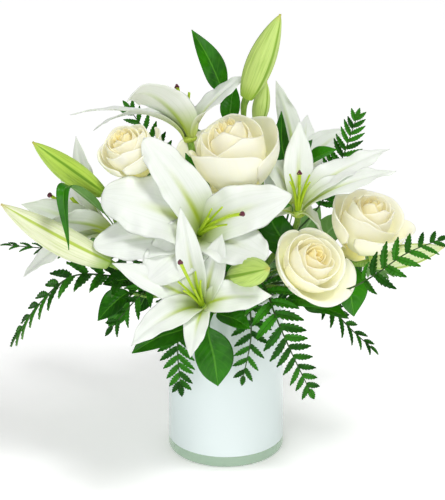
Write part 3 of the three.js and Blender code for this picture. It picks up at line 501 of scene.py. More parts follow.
def bud_finish():
    """Closed lily buds: a satin skin, cream to fresh green by the bud's age, with lime ribs and ends."""
    material, tree = finish_of(
        "lily_bud_satin_skin",
        Roughness=0.42,
        Subsurface_Weight=0.12,
        Subsurface_Radius=(0.004, 0.005, 0.002),
        Subsurface_Scale=1.0,
        IOR=1.42,
    )
    uv = add(tree, "UVMap", uv_map="growth")
    split = add(tree, "SeparateXYZ", {0: uv}, out=None)
    shade = add(tree, "Attribute", out="Fac", attribute_name="shade")
    around = add(tree, "Math", {0: split.outputs[0], 1: 6 * math.pi}, operation="MULTIPLY")
    lobe = add(tree, "Math", {0: around}, operation="COSINE")
    streaks = streaked(tree, uv, (60.0, 3.0, 1.0))
    flank = add(tree, "MixRGB", {0: shade, 1: "f1f3d6", 2: "b2d634"})
    rib = add(tree, "MixRGB", {0: shade, 1: "b5cb3a", 2: "5c9412"})
    on_rib = add(tree, "MapRange", {0: lobe, 1: 0.9, 2: 0.99, 3: 0.0, 4: 0.9}, **EASED)
    colour = add(tree, "MixRGB", {0: on_rib, 1: flank, 2: rib})
    streak = add(tree, "MapRange", {0: streaks, 1: 0.45, 2: 0.72, 3: 0.0, 4: 0.45}, **EASED)
    colour = add(tree, "MixRGB", {0: streak, 1: colour, 2: rib})
    foot = add(tree, "MapRange", {0: split.outputs[1], 1: 0.02, 2: 0.22, 3: 0.8, 4: 0.0}, **EASED)
    colour = add(tree, "MixRGB", {0: foot, 1: colour, 2: "8db82c"})
    tip = add(tree, "MapRange", {0: split.outputs[1], 1: 0.9, 2: 1.0, 3: 0.0, 4: 0.7}, **EASED)
    colour = add(tree, "MixRGB", {0: tip, 1: colour, 2: "c3b352"})
    return dressed(material, colour, streaks, 0.2, 0.0005)


def plain_finish(name, dark, light, grain, bump_height, **inputs):
    """A finish with a fine two-tone grain, `grain` spots to the metre, and a faint bump from it."""
    material, tree = finish_of(name, **inputs)
    place_in = add(tree, "TexCoord", out="Object")
    spots = add(tree, "TexNoise", {"Vector": place_in, "Scale": grain, "Detail": 2.0})
    colour = add(tree, "MixRGB", {0: spots, 1: dark, 2: light})
    return dressed(material, colour, spots, 0.3, bump_height)


# Cut stems are smooth and fresh green, and a fern's rib is darker and duller.
STEM = stem_finish("flower_stem_fresh_green", "5f8a2a", "8fb548", 0.45)
RIB = stem_finish("fern_rib_dark_green", "1f3d10", "3c5f20", 0.5)
# Waxy white lily tepals: the outside shows its midrib, and their claws meet in a green collar.
PETAL_FINISHES = [
    petal_finish("lily_tepal_inside_waxy_white", False),
    petal_finish("lily_tepal_outside_waxy_white", True),
    stem_finish("lily_collar_green", "9cb83a", "b8cc58", 0.5),
]
# Cream garden rose: velvet that is yellower where its petals crowd, with a painted glow that lightens its
# shade.
ROSE = rose_finish()
# Closed lily buds in every age from cream to green.
BUD = bud_finish()
# Florist's greens: the upper face is dark and waxy, the under face paler and dull.
LEAF_FINISHES = [
    leaf_finish("broad_leaf_upper_waxed_green", "0e4400", "2f7f04", "58a02a", 0.3, 0.1, 9.0),
    leaf_finish("broad_leaf_under_dull_green", "4a7c34", "6c9a50", "93b878", 0.62, 0.0, 9.0),
]
FERN_FINISHES = [
    leaf_finish("leatherleaf_upper_green", "144c04", "358212", "1a4a08", 0.45, 0.0, 0.0),
    leaf_finish("leatherleaf_under_green", "4c7636", "6a9650", "5c8444", 0.65, 0.0, 0.0),
]
# The filaments kept their green tops when the anthers were pulled out. The stigma is sticky and maroon.
FILAMENT = plain_finish("lily_filament_lime", "a2c818", "cce43c", 400.0, 0.0002, Roughness=0.4, IOR=1.4)
STIGMA = plain_finish("lily_stigma_maroon", "3c1620", "7a3446", 700.0, 0.0006, Roughness=0.25, IOR=1.45)
# Cylinder of clear glass coated white: an even opal white under a smooth glossy skin.
COAT = dict(Roughness=0.3, Coat_Weight=1.0, Coat_Roughness=0.05, Coat_Tint="eef6f5", IOR=1.5)
COATED_GLASS = plain_finish("glass_coated_opal_white", "f9fcfe", "fcfeff", 12.0, 0.00002, **COAT)
# The thick foot is left clear, and its iron gives soda-lime glass a green edge.
CLEAR = dict(Roughness=0.05, Transmission_Weight=0.6, IOR=1.5)
CLEAR_FOOT = plain_finish("glass_clear_green_foot", "a6c2aa", "b4ccb4", 20.0, 0.00005, **CLEAR)
# Tap water: clear and still.
STILL = dict(Roughness=0.02, Transmission_Weight=1.0, IOR=1.33)
WATER = plain_finish("water_clear", "e6f2f0", "eef8f6", 15.0, 0.00005, **STILL)

# ---- places, directions and curves ----


def place(column, row, depth):
    """The point of a photograph column and row at a depth: its height above the foot is split between
    up and back by the view's tilt."""
    height = (BASE_ROW - row) * MM_PER_PIXEL
    up = (height - depth * math.sin(TILT)) / math.cos(TILT)
    return np.array([(column - AXIS_COLUMN) * MM_PER_PIXEL, depth, up]) * MM


def places(points):
    """The places of a list of points."""
    return [place(*point) for point in points]


def unit(vector):
    """The vector over its own length, along the last axis."""
    return vector / np.maximum(np.linalg.norm(vector, axis=-1, keepdims=True), 1e-12)


def towards(right, up, near):
    """A unit direction from its parts to the right, up and towards the viewer."""
    y = up * math.sin(TILT) - near * math.cos(TILT)
    z = up * math.cos(TILT) + near * math.sin(TILT)
    return unit(np.array([right, y, z], dtype=float))


def turned_about(vector, axis, angle):
    """A vector turned about a unit axis: its part along the axis stays, and the rest turns by the angle."""
    kept = axis * (vector @ axis)
    flat = vector - kept
    return kept + flat * math.cos(angle) + np.cross(axis, flat) * math.sin(angle)


class Path:
    """A curve held as close points. A share of its length, 0 to 1, gives a point on it and its heading."""

    def __init__(self, points):
        self.points = np.asarray(points)
        self.reached = np.concatenate([[0.0], np.cumsum(np.linalg.norm(np.diff(points, axis=0), axis=1))])
        self.length = self.reached[-1]

    def at(self, share):
        """The point a share along, and past the end straight on."""
        along = np.asarray(share, dtype=float) * self.length
        inside = np.stack([np.interp(along, self.reached, self.points[:, k]) for k in range(3)], axis=-1)
        past = np.clip(along - self.length, 0, None)[..., None]
        return inside + past * unit(self.points[-1] - self.points[-2])

    def heading(self, share):
        """The unit direction a share along, from the points just before and after."""
        step = 0.004
        share = np.clip(np.asarray(share, dtype=float), step, 1 - step)
        return unit(self.at(share + step) - self.at(share - step))


def arch(root, axis, tip, rise, bulge):
    """A cubic that leaves the root along the axis: control points at the root, `rise` of the length up the
    axis, `bulge` of the length above 0.62 of the way, and the tip."""
    length = np.linalg.norm(tip - root)
    shoulder = root + (tip - root) * 0.62
    return cubic([root, root + axis * rise * length, shoulder + axis * bulge * length, tip])


def cubic(corners):
    """The Bernstein cubic of four control points, at 161 even parameters."""
    t = np.linspace(0, 1, 161)[:, None]
    weights = np.concatenate([(1 - t) ** 3, 3 * t * (1 - t) ** 2, 3 * t**2 * (1 - t), t**3], axis=1)
    return Path(weights @ np.array(corners))


def through(points):
    """A centripetal Catmull-Rom curve through the points, 40 steps a span: each span is the cubic whose end
    slopes come from the neighbours, spaced by the square root of their distances."""
    points = np.asarray(points, dtype=float)
    padded = np.concatenate([[2 * points[0] - points[1]], points, [2 * points[-1] - points[-2]]])
    gaps = np.sqrt(np.linalg.norm(np.diff(padded, axis=0), axis=1))
    t = np.linspace(0, 1, 41)[:-1, None]
    spans = []
    for k in range(len(points) - 1):
        before, start, end, after = padded[k : k + 4]
        g0, g1, g2 = gaps[k : k + 3]
        slope_in = ((start - before) / g0 - (end - before) / (g0 + g1) + (end - start) / g1) * g1
        slope_out = ((end - start) / g1 - (after - start) / (g1 + g2) + (after - end) / g2) * g1
        bend = -3 * start + 3 * end - 2 * slope_in - slope_out
        twist = 2 * start - 2 * end + slope_in + slope_out
        spans.append(start + slope_in * t + bend * t**2 + twist * t**3)
    return Path(np.concatenate([*spans, points[-1:]]))


def from_vase(x, y):
    """A stem's first points: its foot on the vase's floor, half way up, and clear over the lip. It leaves
    the mouth at (x, y), or on the way there where the glass is nearer."""
    pull = min(1, MOUTH_REACH / math.hypot(x, y))
    lip = np.array([x * pull, y * pull, VASE_HEIGHT + LIP_CLEARANCE])
    foot = np.array([lip[0] * FOOT_SPREAD, lip[1] * FOOT_SPREAD, GLASS_FLOOR + FOOT_ROOM])
    return [foot * MM, (foot + lip) / 2 * MM, lip * MM]


# ---- surfaces gathered into one mesh ----


class Growth:
    """Grids of points gathered into one mesh. Each keeps its own UVs (across, along), a `shade` that
    differs from one leaf or petal to the next, and the material slots of its upper and under faces."""

    def __init__(self):
        self.points, self.shades, self.quads, self.uvs, self.finishes = [], [], [], [], []
        self.count = 0

    def _index(self, index, uv, finish):
        """Faces between neighbouring rows and columns, that look along (rows x columns)."""
        corners = [(slice(None, -1), slice(None, -1)), (slice(1, None), slice(None, -1))]
        corners += [(slice(1, None), slice(1, None)), (slice(None, -1), slice(1, None))]
        self.quads.append(np.stack([index[c] for c in corners], axis=-1).reshape(-1, 4))
        self.uvs.append(np.stack([uv[c] for c in corners], axis=-2).reshape(-1, 2))
        self.finishes.append(np.full(len(self.quads[-1]), finish))

    def _grid_uv(self, rows, columns):
        """The share across and the share along of each point of a grid."""
        along, across = np.meshgrid(np.linspace(0, 1, rows), np.linspace(0, 1, columns), indexing="ij")
        return np.stack([across, along], axis=-1)

    def blade(self, grid, thickness, shade):
        """A thin blade about a grid: an upper and an under face half the thickness away along the grid's
        normal, which meet in its margin. The thickness grows over the outermost steps."""
        rows, columns = grid.shape[:2]
        normal = unit(np.cross(np.gradient(grid, axis=0), np.gradient(grid, axis=1)))
        from_edge_rows = np.minimum(np.arange(rows), np.arange(rows)[::-1])[:, None]
        from_edge_columns = np.minimum(np.arange(columns), np.arange(columns)[::-1])[None, :]
        body = np.sqrt(np.clip(np.minimum(from_edge_rows, from_edge_columns) / 2, 0, 1))[..., None]
        uv = self._grid_uv(rows, columns)
        upper = np.arange(rows * columns).reshape(rows, columns) + self.count
        inner = np.zeros((rows, columns), dtype=bool)
        inner[1:-1, 1:-1] = True
        lower = upper.copy()
        lower[inner] = self.count + rows * columns + np.arange(inner.sum())
        self._index(upper, uv, UPPER)
        self._index(lower[:, ::-1], uv[:, ::-1], UNDER)
        self.points += [
            (grid + normal * body * thickness / 2).reshape(-1, 3),
            (grid - normal * body * thickness / 2)[inner],
        ]
        added = rows * columns + inner.sum()
        self.shades.append(np.full(added, shade))
        self.count += added

    def round(self, path, radius, sides, steps, shade, finish=0, start=0.0, end=1.0, ribs=None):
        """A closed round body: rings about the path's points, radius(t) away, on two directions square to
        its heading, with the end rings drawn in to a point. `ribs(angle, t)` scales the radius."""
        t = np.linspace(start, end, steps)
        share = np.concatenate([[start], t, [end]])
        size = radius(np.clip((share - start) / (end - start), 0, 1))
        size[0] = size[-1] = 1e-6
        centre = path.at(share)
        heading = path.heading(share)
        chord = unit(path.at(end) - path.at(start))
        aside = unit(np.cross(chord, np.eye(3)[np.argmin(np.abs(chord))]))
        across = unit(aside - heading * (heading @ aside)[:, None])
        other = np.cross(heading, across)
        angle = np.linspace(0, -2 * math.pi, sides + 1)[:-1]
        reach = size[:, None] * np.ones(sides)
        if ribs is not None:
            reach = reach * ribs(angle[None, :], ((share - start) / (end - start))[:, None])
        spokes = across[:, None] * np.cos(angle)[None, :, None]
        spokes = spokes + other[:, None] * np.sin(angle)[None, :, None]
        self.ring(centre[:, None] + spokes * reach[..., None], shade, finish)

    def ring(self, grid, shade, finish):
        """A grid whose last column joins its first."""
        rows, columns = grid.shape[:2]
        index = np.arange(rows * columns).reshape(rows, columns) + self.count
        self._index(np.concatenate([index, index[:, :1]], axis=1), self._grid_uv(rows, columns + 1), finish)
        self.points.append(grid.reshape(-1, 3))
        self.shades.append(np.full(rows * columns, shade))
        self.count += rows * columns

    def piece(self, name, finishes, slot, *nodes):
        """The gathered mesh as a piece that rides on the part and stands for its solids."""
        mesh = bpy.data.meshes.new(name)
        quads = np.concatenate(self.quads)
        mesh.from_pydata(np.concatenate(self.points), [], quads)
        mesh.uv_layers.new(name="growth").data.foreach_set("uv", np.concatenate(self.uvs).ravel())
        shade = mesh.attributes.new("shade", "FLOAT", "POINT")
        shade.data.foreach_set("value", np.concatenate(self.shades).astype(np.float32))
        for finish in finishes:
            mesh.materials.append(finish)
        mesh.polygons.foreach_set("material_index", np.concatenate(self.finishes).astype(np.int32))
        mesh.shade_smooth()
        piece = bpy.data.objects.new(name, mesh)
        bpy.context.scene.collection.objects.link(piece)
        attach(piece, "root")
        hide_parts(*nodes)


# ---- petals, leaves, fronds and buds ----


def shares(rows, columns):
    """The share along each row, 0 to 1, and the share across each column, -1 to 1."""
    return np.linspace(0, 1, rows)[:, None], np.linspace(-1, 1, columns)[None, :]


def square_to(axis):
    """The unit direction to the right that is square to an axis."""
    return unit(np.array([1.0, 0, 0]) - axis * axis[0])


def blade_grid(path, side, half, width, cup, rows, columns, relief=None, twist=0.0):
    """A blade along a path. At a share s of the length it reaches half * width(s) to each side w of -1 to
    1, square to the path. Its margins rise by cup(s) of that reach times w squared, plus a relief(s, w),
    and it turns about its path by twist * s radians."""
    s, w = shares(rows, columns)
    heading = path.heading(s[:, 0])
    square = unit(side - heading * (heading @ side)[:, None])
    upright = np.cross(heading, square)
    turn = twist * s
    across = square * np.cos(turn) + upright * np.sin(turn)
    face = upright * np.cos(turn) - square * np.sin(turn)
    reach = np.maximum(half * width(s), 0.5 * MM)
    lift = cup(s) * reach * w**2
    if relief is not None:
        lift = lift + relief(s, w, reach)
    return path.at(s) + across[:, None] * (reach * w)[..., None] + face[:, None] * lift[..., None]


def hump(t, power):
    """sin(pi t), never below 0, to a power."""
    return np.clip(np.sin(math.pi * t), 0, 1) ** power


def petal_width(fullness):
    """A narrow claw, widest about the middle, and a tip that is blunter the smaller `fullness` is:
    sin(pi s^0.92)^fullness + 0.1 (1 - s)^4."""
    return lambda s: hump(s**0.92, fullness) + 0.1 * (1 - s) ** 4


def petal_cup(s):
    """Margins well up at the claw and turned back near the tip: 0.75 (1 - s)^2 - 0.22 s^3."""
    return 0.75 * (1 - s) ** 2 - 0.22 * s**3


def leaf_width(s):
    """A broad leaf: sin(pi s^0.8)^0.9."""
    return hump(s**0.8, 0.9)


def lily_petals(lily, chance):
    """Six petals on a ring about the bloom's axis, in two whorls. Each leaves along the axis and arches out
    to its own tip, with a furrow along its middle and waves that grow towards its margins and tip."""
    axis = towards(*lily["faces"])
    base = place(*lily["base"])
    outwards = []
    for petal in lily["petals"]:
        outward = place(*petal[:3]) - base
        outwards.append(unit(outward - axis * (outward @ axis)))
    first = outwards[0]
    turns = [math.atan2(np.cross(first, outward) @ axis, first @ outward) for outward in outwards]
    order = np.argsort(turns)
    apart = 2 * math.pi / LILY_PARTS
    start = sum(turns[i] - k * apart for k, i in enumerate(order)) / LILY_PARTS
    growth = Growth()
    for k, i in enumerate(order):
        column, row, depth, half, bulge, wave, *more = lily["petals"][i]
        habit = more[0] if more else {}
        ring, rise, settle = WHORLS[k % 2]
        root = base + turned_about(first, axis, start + k * apart) * ring * MM
        path = arch(root, axis, place(column, row, depth), rise, bulge + settle)
        side = np.cross(axis, outwards[i])
        phase = chance.uniform(0, 2 * math.pi, 4)

        def relief(s, w, reach, wave=wave, phase=phase, half=half):
            """Two sines a margin, its own on each side, a narrow furrow down the middle, and slow swells and
            folds between. All fade out at the claw and the tip."""
            inside = np.sin(math.pi * s)
            margin = np.abs(w) ** 2.4 * inside**0.5 * s
            left = np.sin(4.2 * math.pi * s + phase[0]) + 0.5 * np.sin(9.5 * math.pi * s + phase[1])
            right = np.sin(4.6 * math.pi * s + phase[2]) + 0.5 * np.sin(10.5 * math.pi * s + phase[3])
            ruffle = wave * MM * 1.9 * margin * np.where(w < 0, left, right)
            furrow = -1.3 * MM * np.exp(-((w * reach / (2.2 * MM)) ** 2)) * inside**0.6
            swell = 0.5 * MM * np.sin(5.5 * math.pi * s + 2.5 * w + phase[1]) * inside * np.abs(w)
            folds = 0.2 * MM * np.cos(w * 8 + phase[0]) * inside * (1 - np.abs(w)) * half / 14
            return ruffle + furrow + folds + swell

        width = petal_width(habit.get("full", 0.95))
        grid = blade_grid(path, side, half * MM, width, petal_cup, 60, 31, relief, habit.get("twist", 0.0))
        growth.blade(grid, PETAL_THICKNESS * MM, chance.uniform(0, 1))
    # The petals' claws meet in a green collar round the stalk.
    collar = Path([base - axis * 2.5 * MM, base + axis * 3 * MM])
    growth.round(collar, collar_radius, 20, 8, 0.5, 2)
    growth.piece(f"{lily['name']}_bloom", PETAL_FINISHES, "lily_petal", f"{lily['name']}_petals")


def collar_radius(t):
    """A low swelling, one half wave of a sine."""
    return (4.6 + 2.2 * np.sin(math.pi * t)) * MM


def lily_stalk(lily, chance):
    """The stem up to the bloom, the pistil with its three-lobed stigma, six filaments that lean out round
    it, the stalks of its buds, and the leaves that grow on the stem."""
    name = lily["name"]
    axis = towards(*lily["faces"])
    base = place(*lily["base"])
    top = [base - axis * 13 * MM, base + axis * 4 * MM]
    stem = through([*from_vase(*lily["leaves"]), *places(lily.get("via", [])), *top])
    growth = Growth()
    growth.round(stem, stem_radius(LILY_STALK_RADIUS), 14, 90, chance.uniform(0, 1))
    stigma = place(*lily["stigma"])
    bend = stigma + (base + axis * 55 * MM - stigma) * 0.4
    style = cubic([base, base + axis * 22 * MM, bend, stigma])
    growth.round(style, lambda t: (1.7 - 0.5 * np.sin(math.pi * t)) * MM, 10, 30, 0.7, 1, 0, 0.97)
    growth.round(style, stigma_radius, 18, 9, 0.5, 2, 0.94, 1.0, stigma_lobes)
    heading = style.heading(0.4)
    sideways = unit(np.cross(heading, axis + np.array([0.3, 0.2, 0])))
    follow = (stigma - base - axis * 60 * MM) * 0.35
    for k in range(LILY_PARTS):
        lean = turned_about(sideways, axis, k / LILY_PARTS * 2 * math.pi + 0.4)
        middle = base + axis * 28 * MM + lean * 4 * MM + follow * 0.4
        end = base + axis * 44 * MM + lean * 10 * MM + follow
        filament = cubic([base + lean * 0.8 * MM, middle, middle * 0.5 + end * 0.5, end])
        growth.round(filament, filament_radius, 8, 24, 0.3 + 0.1 * k, 1)
    for stalk in lily.get("stalks", []):
        end = next(row for row in BUDS if row["name"] == stalk["bud"])
        root = place(*end["base"])
        direction = unit(place(*end["tip"]) - root)
        points = [stem.at(stalk["start"]), *places(stalk["via"])]
        path = through([*points, root - direction * 8 * MM, root + direction * 1 * MM])
        growth.round(path, bud_stalk_radius, 12, 40, chance.uniform(0, 1))
    growth.piece(f"{name}_stalk", [STEM, FILAMENT, STIGMA], "stem", f"{name}_stem")
    if lily.get("foliage"):
        leaves = Growth()
        for leaf in lily["foliage"]:
            leaf_on(leaves, stem.at(leaf["start"]), leaf, chance)
        leaves.piece(f"{name}_leaves", LEAF_FINISHES, "leaf", f"{name}_stem")


def stem_radius(millimetres):
    """An even stem, a little swollen at its foot and top."""
    return lambda t: (millimetres * (1 + 0.12 * (2 * t - 1) ** 4)) * MM


def stigma_radius(t):
    """A knob, round on a neck of 1 mm."""
    return (1.0 + 1.2 * np.sin(math.pi * t) ** 0.7) * MM


def stigma_lobes(angle, t):
    """Three lobes, a third of a turn apart."""
    return 1 + 0.22 * np.cos(3 * angle)


def filament_radius(t):
    """A filament tapers from its root and ends in the short point that held the anther."""
    return (1.6 - 0.75 * t) * MM


def bud_stalk_radius(t):
    """A bud's stalk widens where it meets the bud."""
    return (2.0 + 1.6 * np.clip(t - 0.85, 0, 1) / 0.15) * MM


def leaf_on(growth, root, leaf, chance):
    """A broad leaf: from the stem as a narrow stalk through its base and a raised shoulder to its tip, with
    a sunken midrib, side veins that sweep forward, and slow waves along its margins."""
    face = towards(*leaf["faces"])
    base = place(*leaf["base"])
    tip = place(*leaf["tip"])
    rise = leaf.get("bulge", 0.12) * np.linalg.norm(tip - base)
    shoulder = base + (tip - base) * 0.55 + face * rise
    path = through([root, base, shoulder, tip])
    side = unit(np.cross(face, tip - base))
    stalk = np.linalg.norm(root - base) / path.length

    def width(s):
        """A thin stalk up to the base, then the leaf's own width."""
        past = np.clip((s - stalk) / (1 - stalk), 0, 1)
        return np.where(s < stalk, 0.09, np.maximum(leaf_width(past), 0.09 * (past < 0.3)))

    phase = chance.uniform(0, 2 * math.pi, 2)

    def relief(s, w, reach):
        """A slow sine along each margin, a furrow at the midrib, and side veins on a broad leaf."""
        past = np.clip((s - stalk) / (1 - stalk), 0, 1)
        inside = np.sin(math.pi * past)
        waves = 1.1 * MM * w**2 * inside * np.sin(3 * math.pi * s + np.where(w < 0, phase[0], phase[1]))
        rib = -0.9 * MM * np.exp(-((w * reach / (1.6 * MM)) ** 2)) * inside
        veins = 0.28 * MM * np.cos(2 * math.pi * (past * 9 - np.abs(w) * 1.7)) * (1 - np.abs(w)) * inside
        return waves + rib + veins * (leaf["half"] > 7)

    grid = blade_grid(path, side, leaf["half"] * MM, width, lambda s: 0.25 + 0 * s, 70, 25, relief)
    growth.blade(grid, LEAF_THICKNESS * MM, chance.uniform(0, 1))


def leafy_stem(spray, chance):
    """A stem with its broad leaves."""
    stem = through([*from_vase(*spray["leaves"]), *places(spray["via"])])
    growth = Growth()
    growth.round(stem, stem_radius(LEAFY_STALK_RADIUS), 10, 70, chance.uniform(0, 1), 2)
    for leaf in spray["foliage"]:
        leaf_on(growth, stem.at(leaf["start"]), leaf, chance)
    growth.piece(f"{spray['name']}_spray", [*LEAF_FINISHES, STEM], "leaf", spray["name"])


def bud(spec, chance):
    """A bud: a spindle, fullest below the middle, whose ring has three broad ribs a third of a turn apart
    with a furrow on each side, and a small blunt tip."""
    base = place(*spec["base"])
    tip = place(*spec["tip"])
    middle = (base + tip) / 2 + towards(0, 1, 0) * spec.get("bow", 0) * MM
    half = spec["half"] * MM
    path = cubic([base, base / 3 + middle * 2 / 3, tip / 3 + middle * 2 / 3, tip])

    def radius(t):
        """half sin(pi (0.1 + 0.9 t)^0.9)^0.75, and no less than a stalk's."""
        return np.maximum(half * hump((0.1 + 0.9 * t) ** 0.9, 0.75), 1.2 * MM)

    def ribs(angle, t):
        """A low cosine of three turns, and a furrow wherever it is 0.45 up or down."""
        lobe = np.cos(3 * angle)
        furrow = np.exp(-((np.abs(lobe) - 0.45) ** 2) / 0.02)
        return 0.95 + 0.05 * lobe - 0.055 * furrow * np.sin(math.pi * t)

    growth = Growth()
    growth.round(path, radius, 72, 60, spec["green"], 0, 0, 1, ribs)
    growth.piece(f"{spec['name']}_skin", [BUD], "bud", spec["name"])


def rose_head(rose, chance):
    """A rose's head: petals stand a golden angle apart round the axis, crowded in the heart and wider
    apart outside. Here t is the share of the height, and the lip is held back at its corners, so its middle
    is pointed. A petal's radius is reach sin(pi t / 1.36)^0.85 up to the belly at 0.68. Past 0.64 the inner
    petals close over the heart, and the outer ones open and roll their lips out and down, most at the
    corners. One edge of each petal lies under the one before."""
    base = place(*rose["base"])
    axis = towards(*rose["faces"])
    side = square_to(axis)
    other = np.cross(axis, side)
    growth = Growth()
    s, w = shares(40, 45)
    reach_all = rose["reach"] * MM
    height_all = rose["height"] * MM
    for k in range(ROSE_PETALS):
        out = k / (ROSE_PETALS - 1)
        reach = reach_all * (0.1 + 0.83 * out**1.2) * chance.uniform(0.97, 1.03)
        height = height_all * (0.97 + 0.05 * math.sin(math.pi * out) - 0.17 * out**2)
        height = height * chance.uniform(0.965, 1.02)
        span = (1.9 - 0.65 * out) * chance.uniform(0.94, 1.06)
        roll = reach_all * (0.04 + rose.get("roll", 0.24) * out**1.2) * chance.uniform(0.75, 1.25)
        angle = k * GOLDEN_ANGLE + rose.get("turn", 0.0) + chance.uniform(-0.25, 0.25)
        splay = chance.uniform(0, 0.12) * out**2 + rose.get("open", 0.1) * out**8
        phase = chance.uniform(0, 2 * math.pi, 3)
        lip = 1 - 0.16 * np.abs(w) ** 1.4 - 0.14 * w**6 + 0.02 * np.sin(3.5 * w + phase[0])
        t = s * lip
        turn = angle + w * span * np.minimum(1, 0.45 + 1.1 * t)
        lay = 1 + (0.17 - 0.08 * out) * w
        belly = np.sin(math.pi / 2 * np.minimum(t / 0.68, 1)) ** 0.85
        past = np.clip(t - 0.64, 0, 1) / 0.36
        closing = (0.52 * (1 - out) ** 0.9 + rose.get("shut", 0.03)) * past**1.5
        corner = 0.3 + (1 + 0.4 * np.sin(phase[1]) * w) * np.abs(w) ** 1.2
        radius = reach * lay * (belly - closing) + roll * corner * past**2.2
        radius = radius + splay * height * t + 1.1 * MM * out * np.sin(4.5 * w + phase[1]) * t**3
        up = height * t - roll * corner * (0.35 + 1.05 * out) * past**3.2
        up = up + 0.8 * MM * np.sin(4 * w + phase[2]) * t**4
        grid = base + (1 * MM * axis) + axis * up[..., None]
        grid = grid + side * (np.cos(turn) * radius)[..., None] + other * (np.sin(turn) * radius)[..., None]
        growth.blade(grid, (0.7 + 0.4 * out) * MM, out)
    heart = Path([base + axis * 0.5 * MM, base + axis * rose["height"] * 0.8 * MM])
    growth.round(heart, lambda t: reach_all * (0.1 + 0.3 * np.clip(1 - 2 * t, 0, 1)), 24, 16, 0.0)
    growth.piece(f"{rose['name']}_bloom", [ROSE, ROSE], "rose_petal", f"{rose['name']}_head")


def rose_stalk(rose, chance):
    """A rose's stem, the hip under its head, and five sepals bent down round it."""
    base = place(*rose["base"])
    axis = towards(*rose["faces"])
    stem = through([*from_vase(*rose["leaves"]), base - axis * 16 * MM, base - axis * 5 * MM])
    growth = Growth()
    growth.round(stem, stem_radius(ROSE_STALK_RADIUS), 12, 80, chance.uniform(0, 1), 2)
    hip = Path([base - axis * 11 * MM, base - axis * 0.4 * MM])
    growth.round(hip, lambda t: (2.4 + 3.2 * np.sin(math.pi * (0.1 + 0.6 * t))) * MM, 20, 12, 0.5, 2)
    side = square_to(axis)
    for k in range(ROSE_SEPALS):
        outward = turned_about(side, axis, k / ROSE_SEPALS * 2 * math.pi + 0.5)
        root = base - axis * 3 * MM + outward * 3.6 * MM
        path = arch(root, outward, base - axis * 20 * MM + outward * 19 * MM, 0.4, -0.05)
        grid = blade_grid(path, np.cross(axis, outward), 3.4 * MM, leaf_width, lambda s: 0.2 + 0 * s, 24, 9)
        growth.blade(grid, LEAF_THICKNESS * MM, chance.uniform(0, 1))
    growth.piece(f"{rose['name']}_stalk", [*LEAF_FINISHES, STEM], "stem", f"{rose['name']}_stem")


def frond(fern, chance):
    """A frond: a thin rib along its curve, and past `bare` pairs of leaflets that lean forward, with one
    leaflet straight on at the end. A leaflet is lance-shaped, sin(pi (0.08 + 0.92 s)^0.8)^0.7, and its
    margins are cut into lobes that point forward: a saw wave holds the margin back, and each lobe's end is
    carried on along the leaflet."""
    path = through([*from_vase(*fern["leaves"]), *places(fern["via"])])
    face = towards(*fern["faces"])
    growth = Growth()
    growth.round(path, lambda t: (1.3 - 0.9 * t**2) * MM, 8, 90, 0.2, 2)
    pairs = round(fern["pairs"] * PAIRS_FACTOR)
    pitch = (1 - fern["bare"]) / pairs
    s, w = shares(49, 9)
    saw = (LEAFLET_LOBES * s) % 1.0
    outline = hump((0.08 + 0.92 * s) ** 0.8, 0.7)
    cut = 1 - 0.32 * (1 - saw) ** 1.2 * np.abs(w) ** 1.5 * (s > 0.06)
    carry = 0.07 * np.abs(w) ** 2 * saw * (1 - s)
    widest = min(max(fern["reach"] * 0.24, 4.4), pitch * path.length / MM * 1.1)
    for pair in range(pairs + 1):
        share = 1 - 0.72 * (pair / pairs) ** 1.7 if pair else 0.8
        for flank in (-1, 1) if pair < pairs else (1,):
            lead = min(fern["bare"] + (pair + (0.1 if flank > 0 else 0.3)) * pitch, 0.99)
            length = fern["reach"] * share * MM * chance.uniform(0.97, 1.1)
            heading = path.heading(lead)
            across = unit(np.cross(face, heading)) * flank
            normal = np.cross(heading, across * flank)
            forward = length * (0.45 + 0.9 * (pair / pairs) ** 2) * chance.uniform(0.85, 1.15)
            if pair == pairs:
                # The frond ends in one leaflet straight on.
                forward, across = length * 1.4, across * 0.02
            lean = unit(across * length + heading * forward)
            square = unit(np.cross(normal, lean))
            half = widest * max(share, 0.6) * MM
            droop = -0.14 * length * s**2 + 0.06 * length * np.sin(math.pi * s)
            fold = 0.2 * half * w**2 - 0.2 * half * np.exp(-((w / 0.3) ** 2))
            ripple = 0.1 * half * np.cos(2 * math.pi * LEAFLET_LOBES * s) * np.abs(w)
            grid = path.at(lead) + lean * ((s + carry) * np.hypot(length, forward))[..., None]
            grid = grid + square * (half * outline * cut * w)[..., None]
            grid = grid + heading * (0.08 * length * s**2 + 0 * w)[..., None]
            grid = grid + normal * (droop + fold + ripple)[..., None]
            growth.blade(grid, LEAFLET_THICKNESS * MM, chance.uniform(0, 1))
    growth.piece(f"{fern['name']}_frond", [*FERN_FINISHES, RIB], "fern", fern["name"])


# ---- vase and water ----


def lathe(name, profile, finish, slot, segments, *nodes):
    """A profile of (radius, height) in millimetres, out from the vase's axis and back to it, turned about
    that axis."""
    profile = np.array(profile, dtype=float) * MM
    angle = np.linspace(0, 2 * math.pi, segments + 1)[:-1]
    radius = np.maximum(profile[:, :1], 1e-6)
    height = profile[:, 1:] + 0 * angle
    grid = np.stack([radius * np.cos(angle), radius * np.sin(angle), height], axis=-1)
    growth = Growth()
    growth.ring(grid[::-1], 0.5, 0)
    growth.piece(name, [finish], slot, *nodes)


def rounded(corners, radii, steps=7):
    """A profile whose inner corners are rounded, each by a quadratic from one side of it to the other."""
    corners = np.array(corners, dtype=float)
    points = [corners[0]]
    for k in range(1, len(corners) - 1):
        before = unit(corners[k - 1] - corners[k]) * radii[k - 1]
        after = unit(corners[k + 1] - corners[k]) * radii[k - 1]
        for t in np.linspace(0, 1, steps):
            points.append(corners[k] + before * (1 - t) ** 2 + after * t**2)
    points.append(corners[-1])
    return points

# ---- the bouquet ----

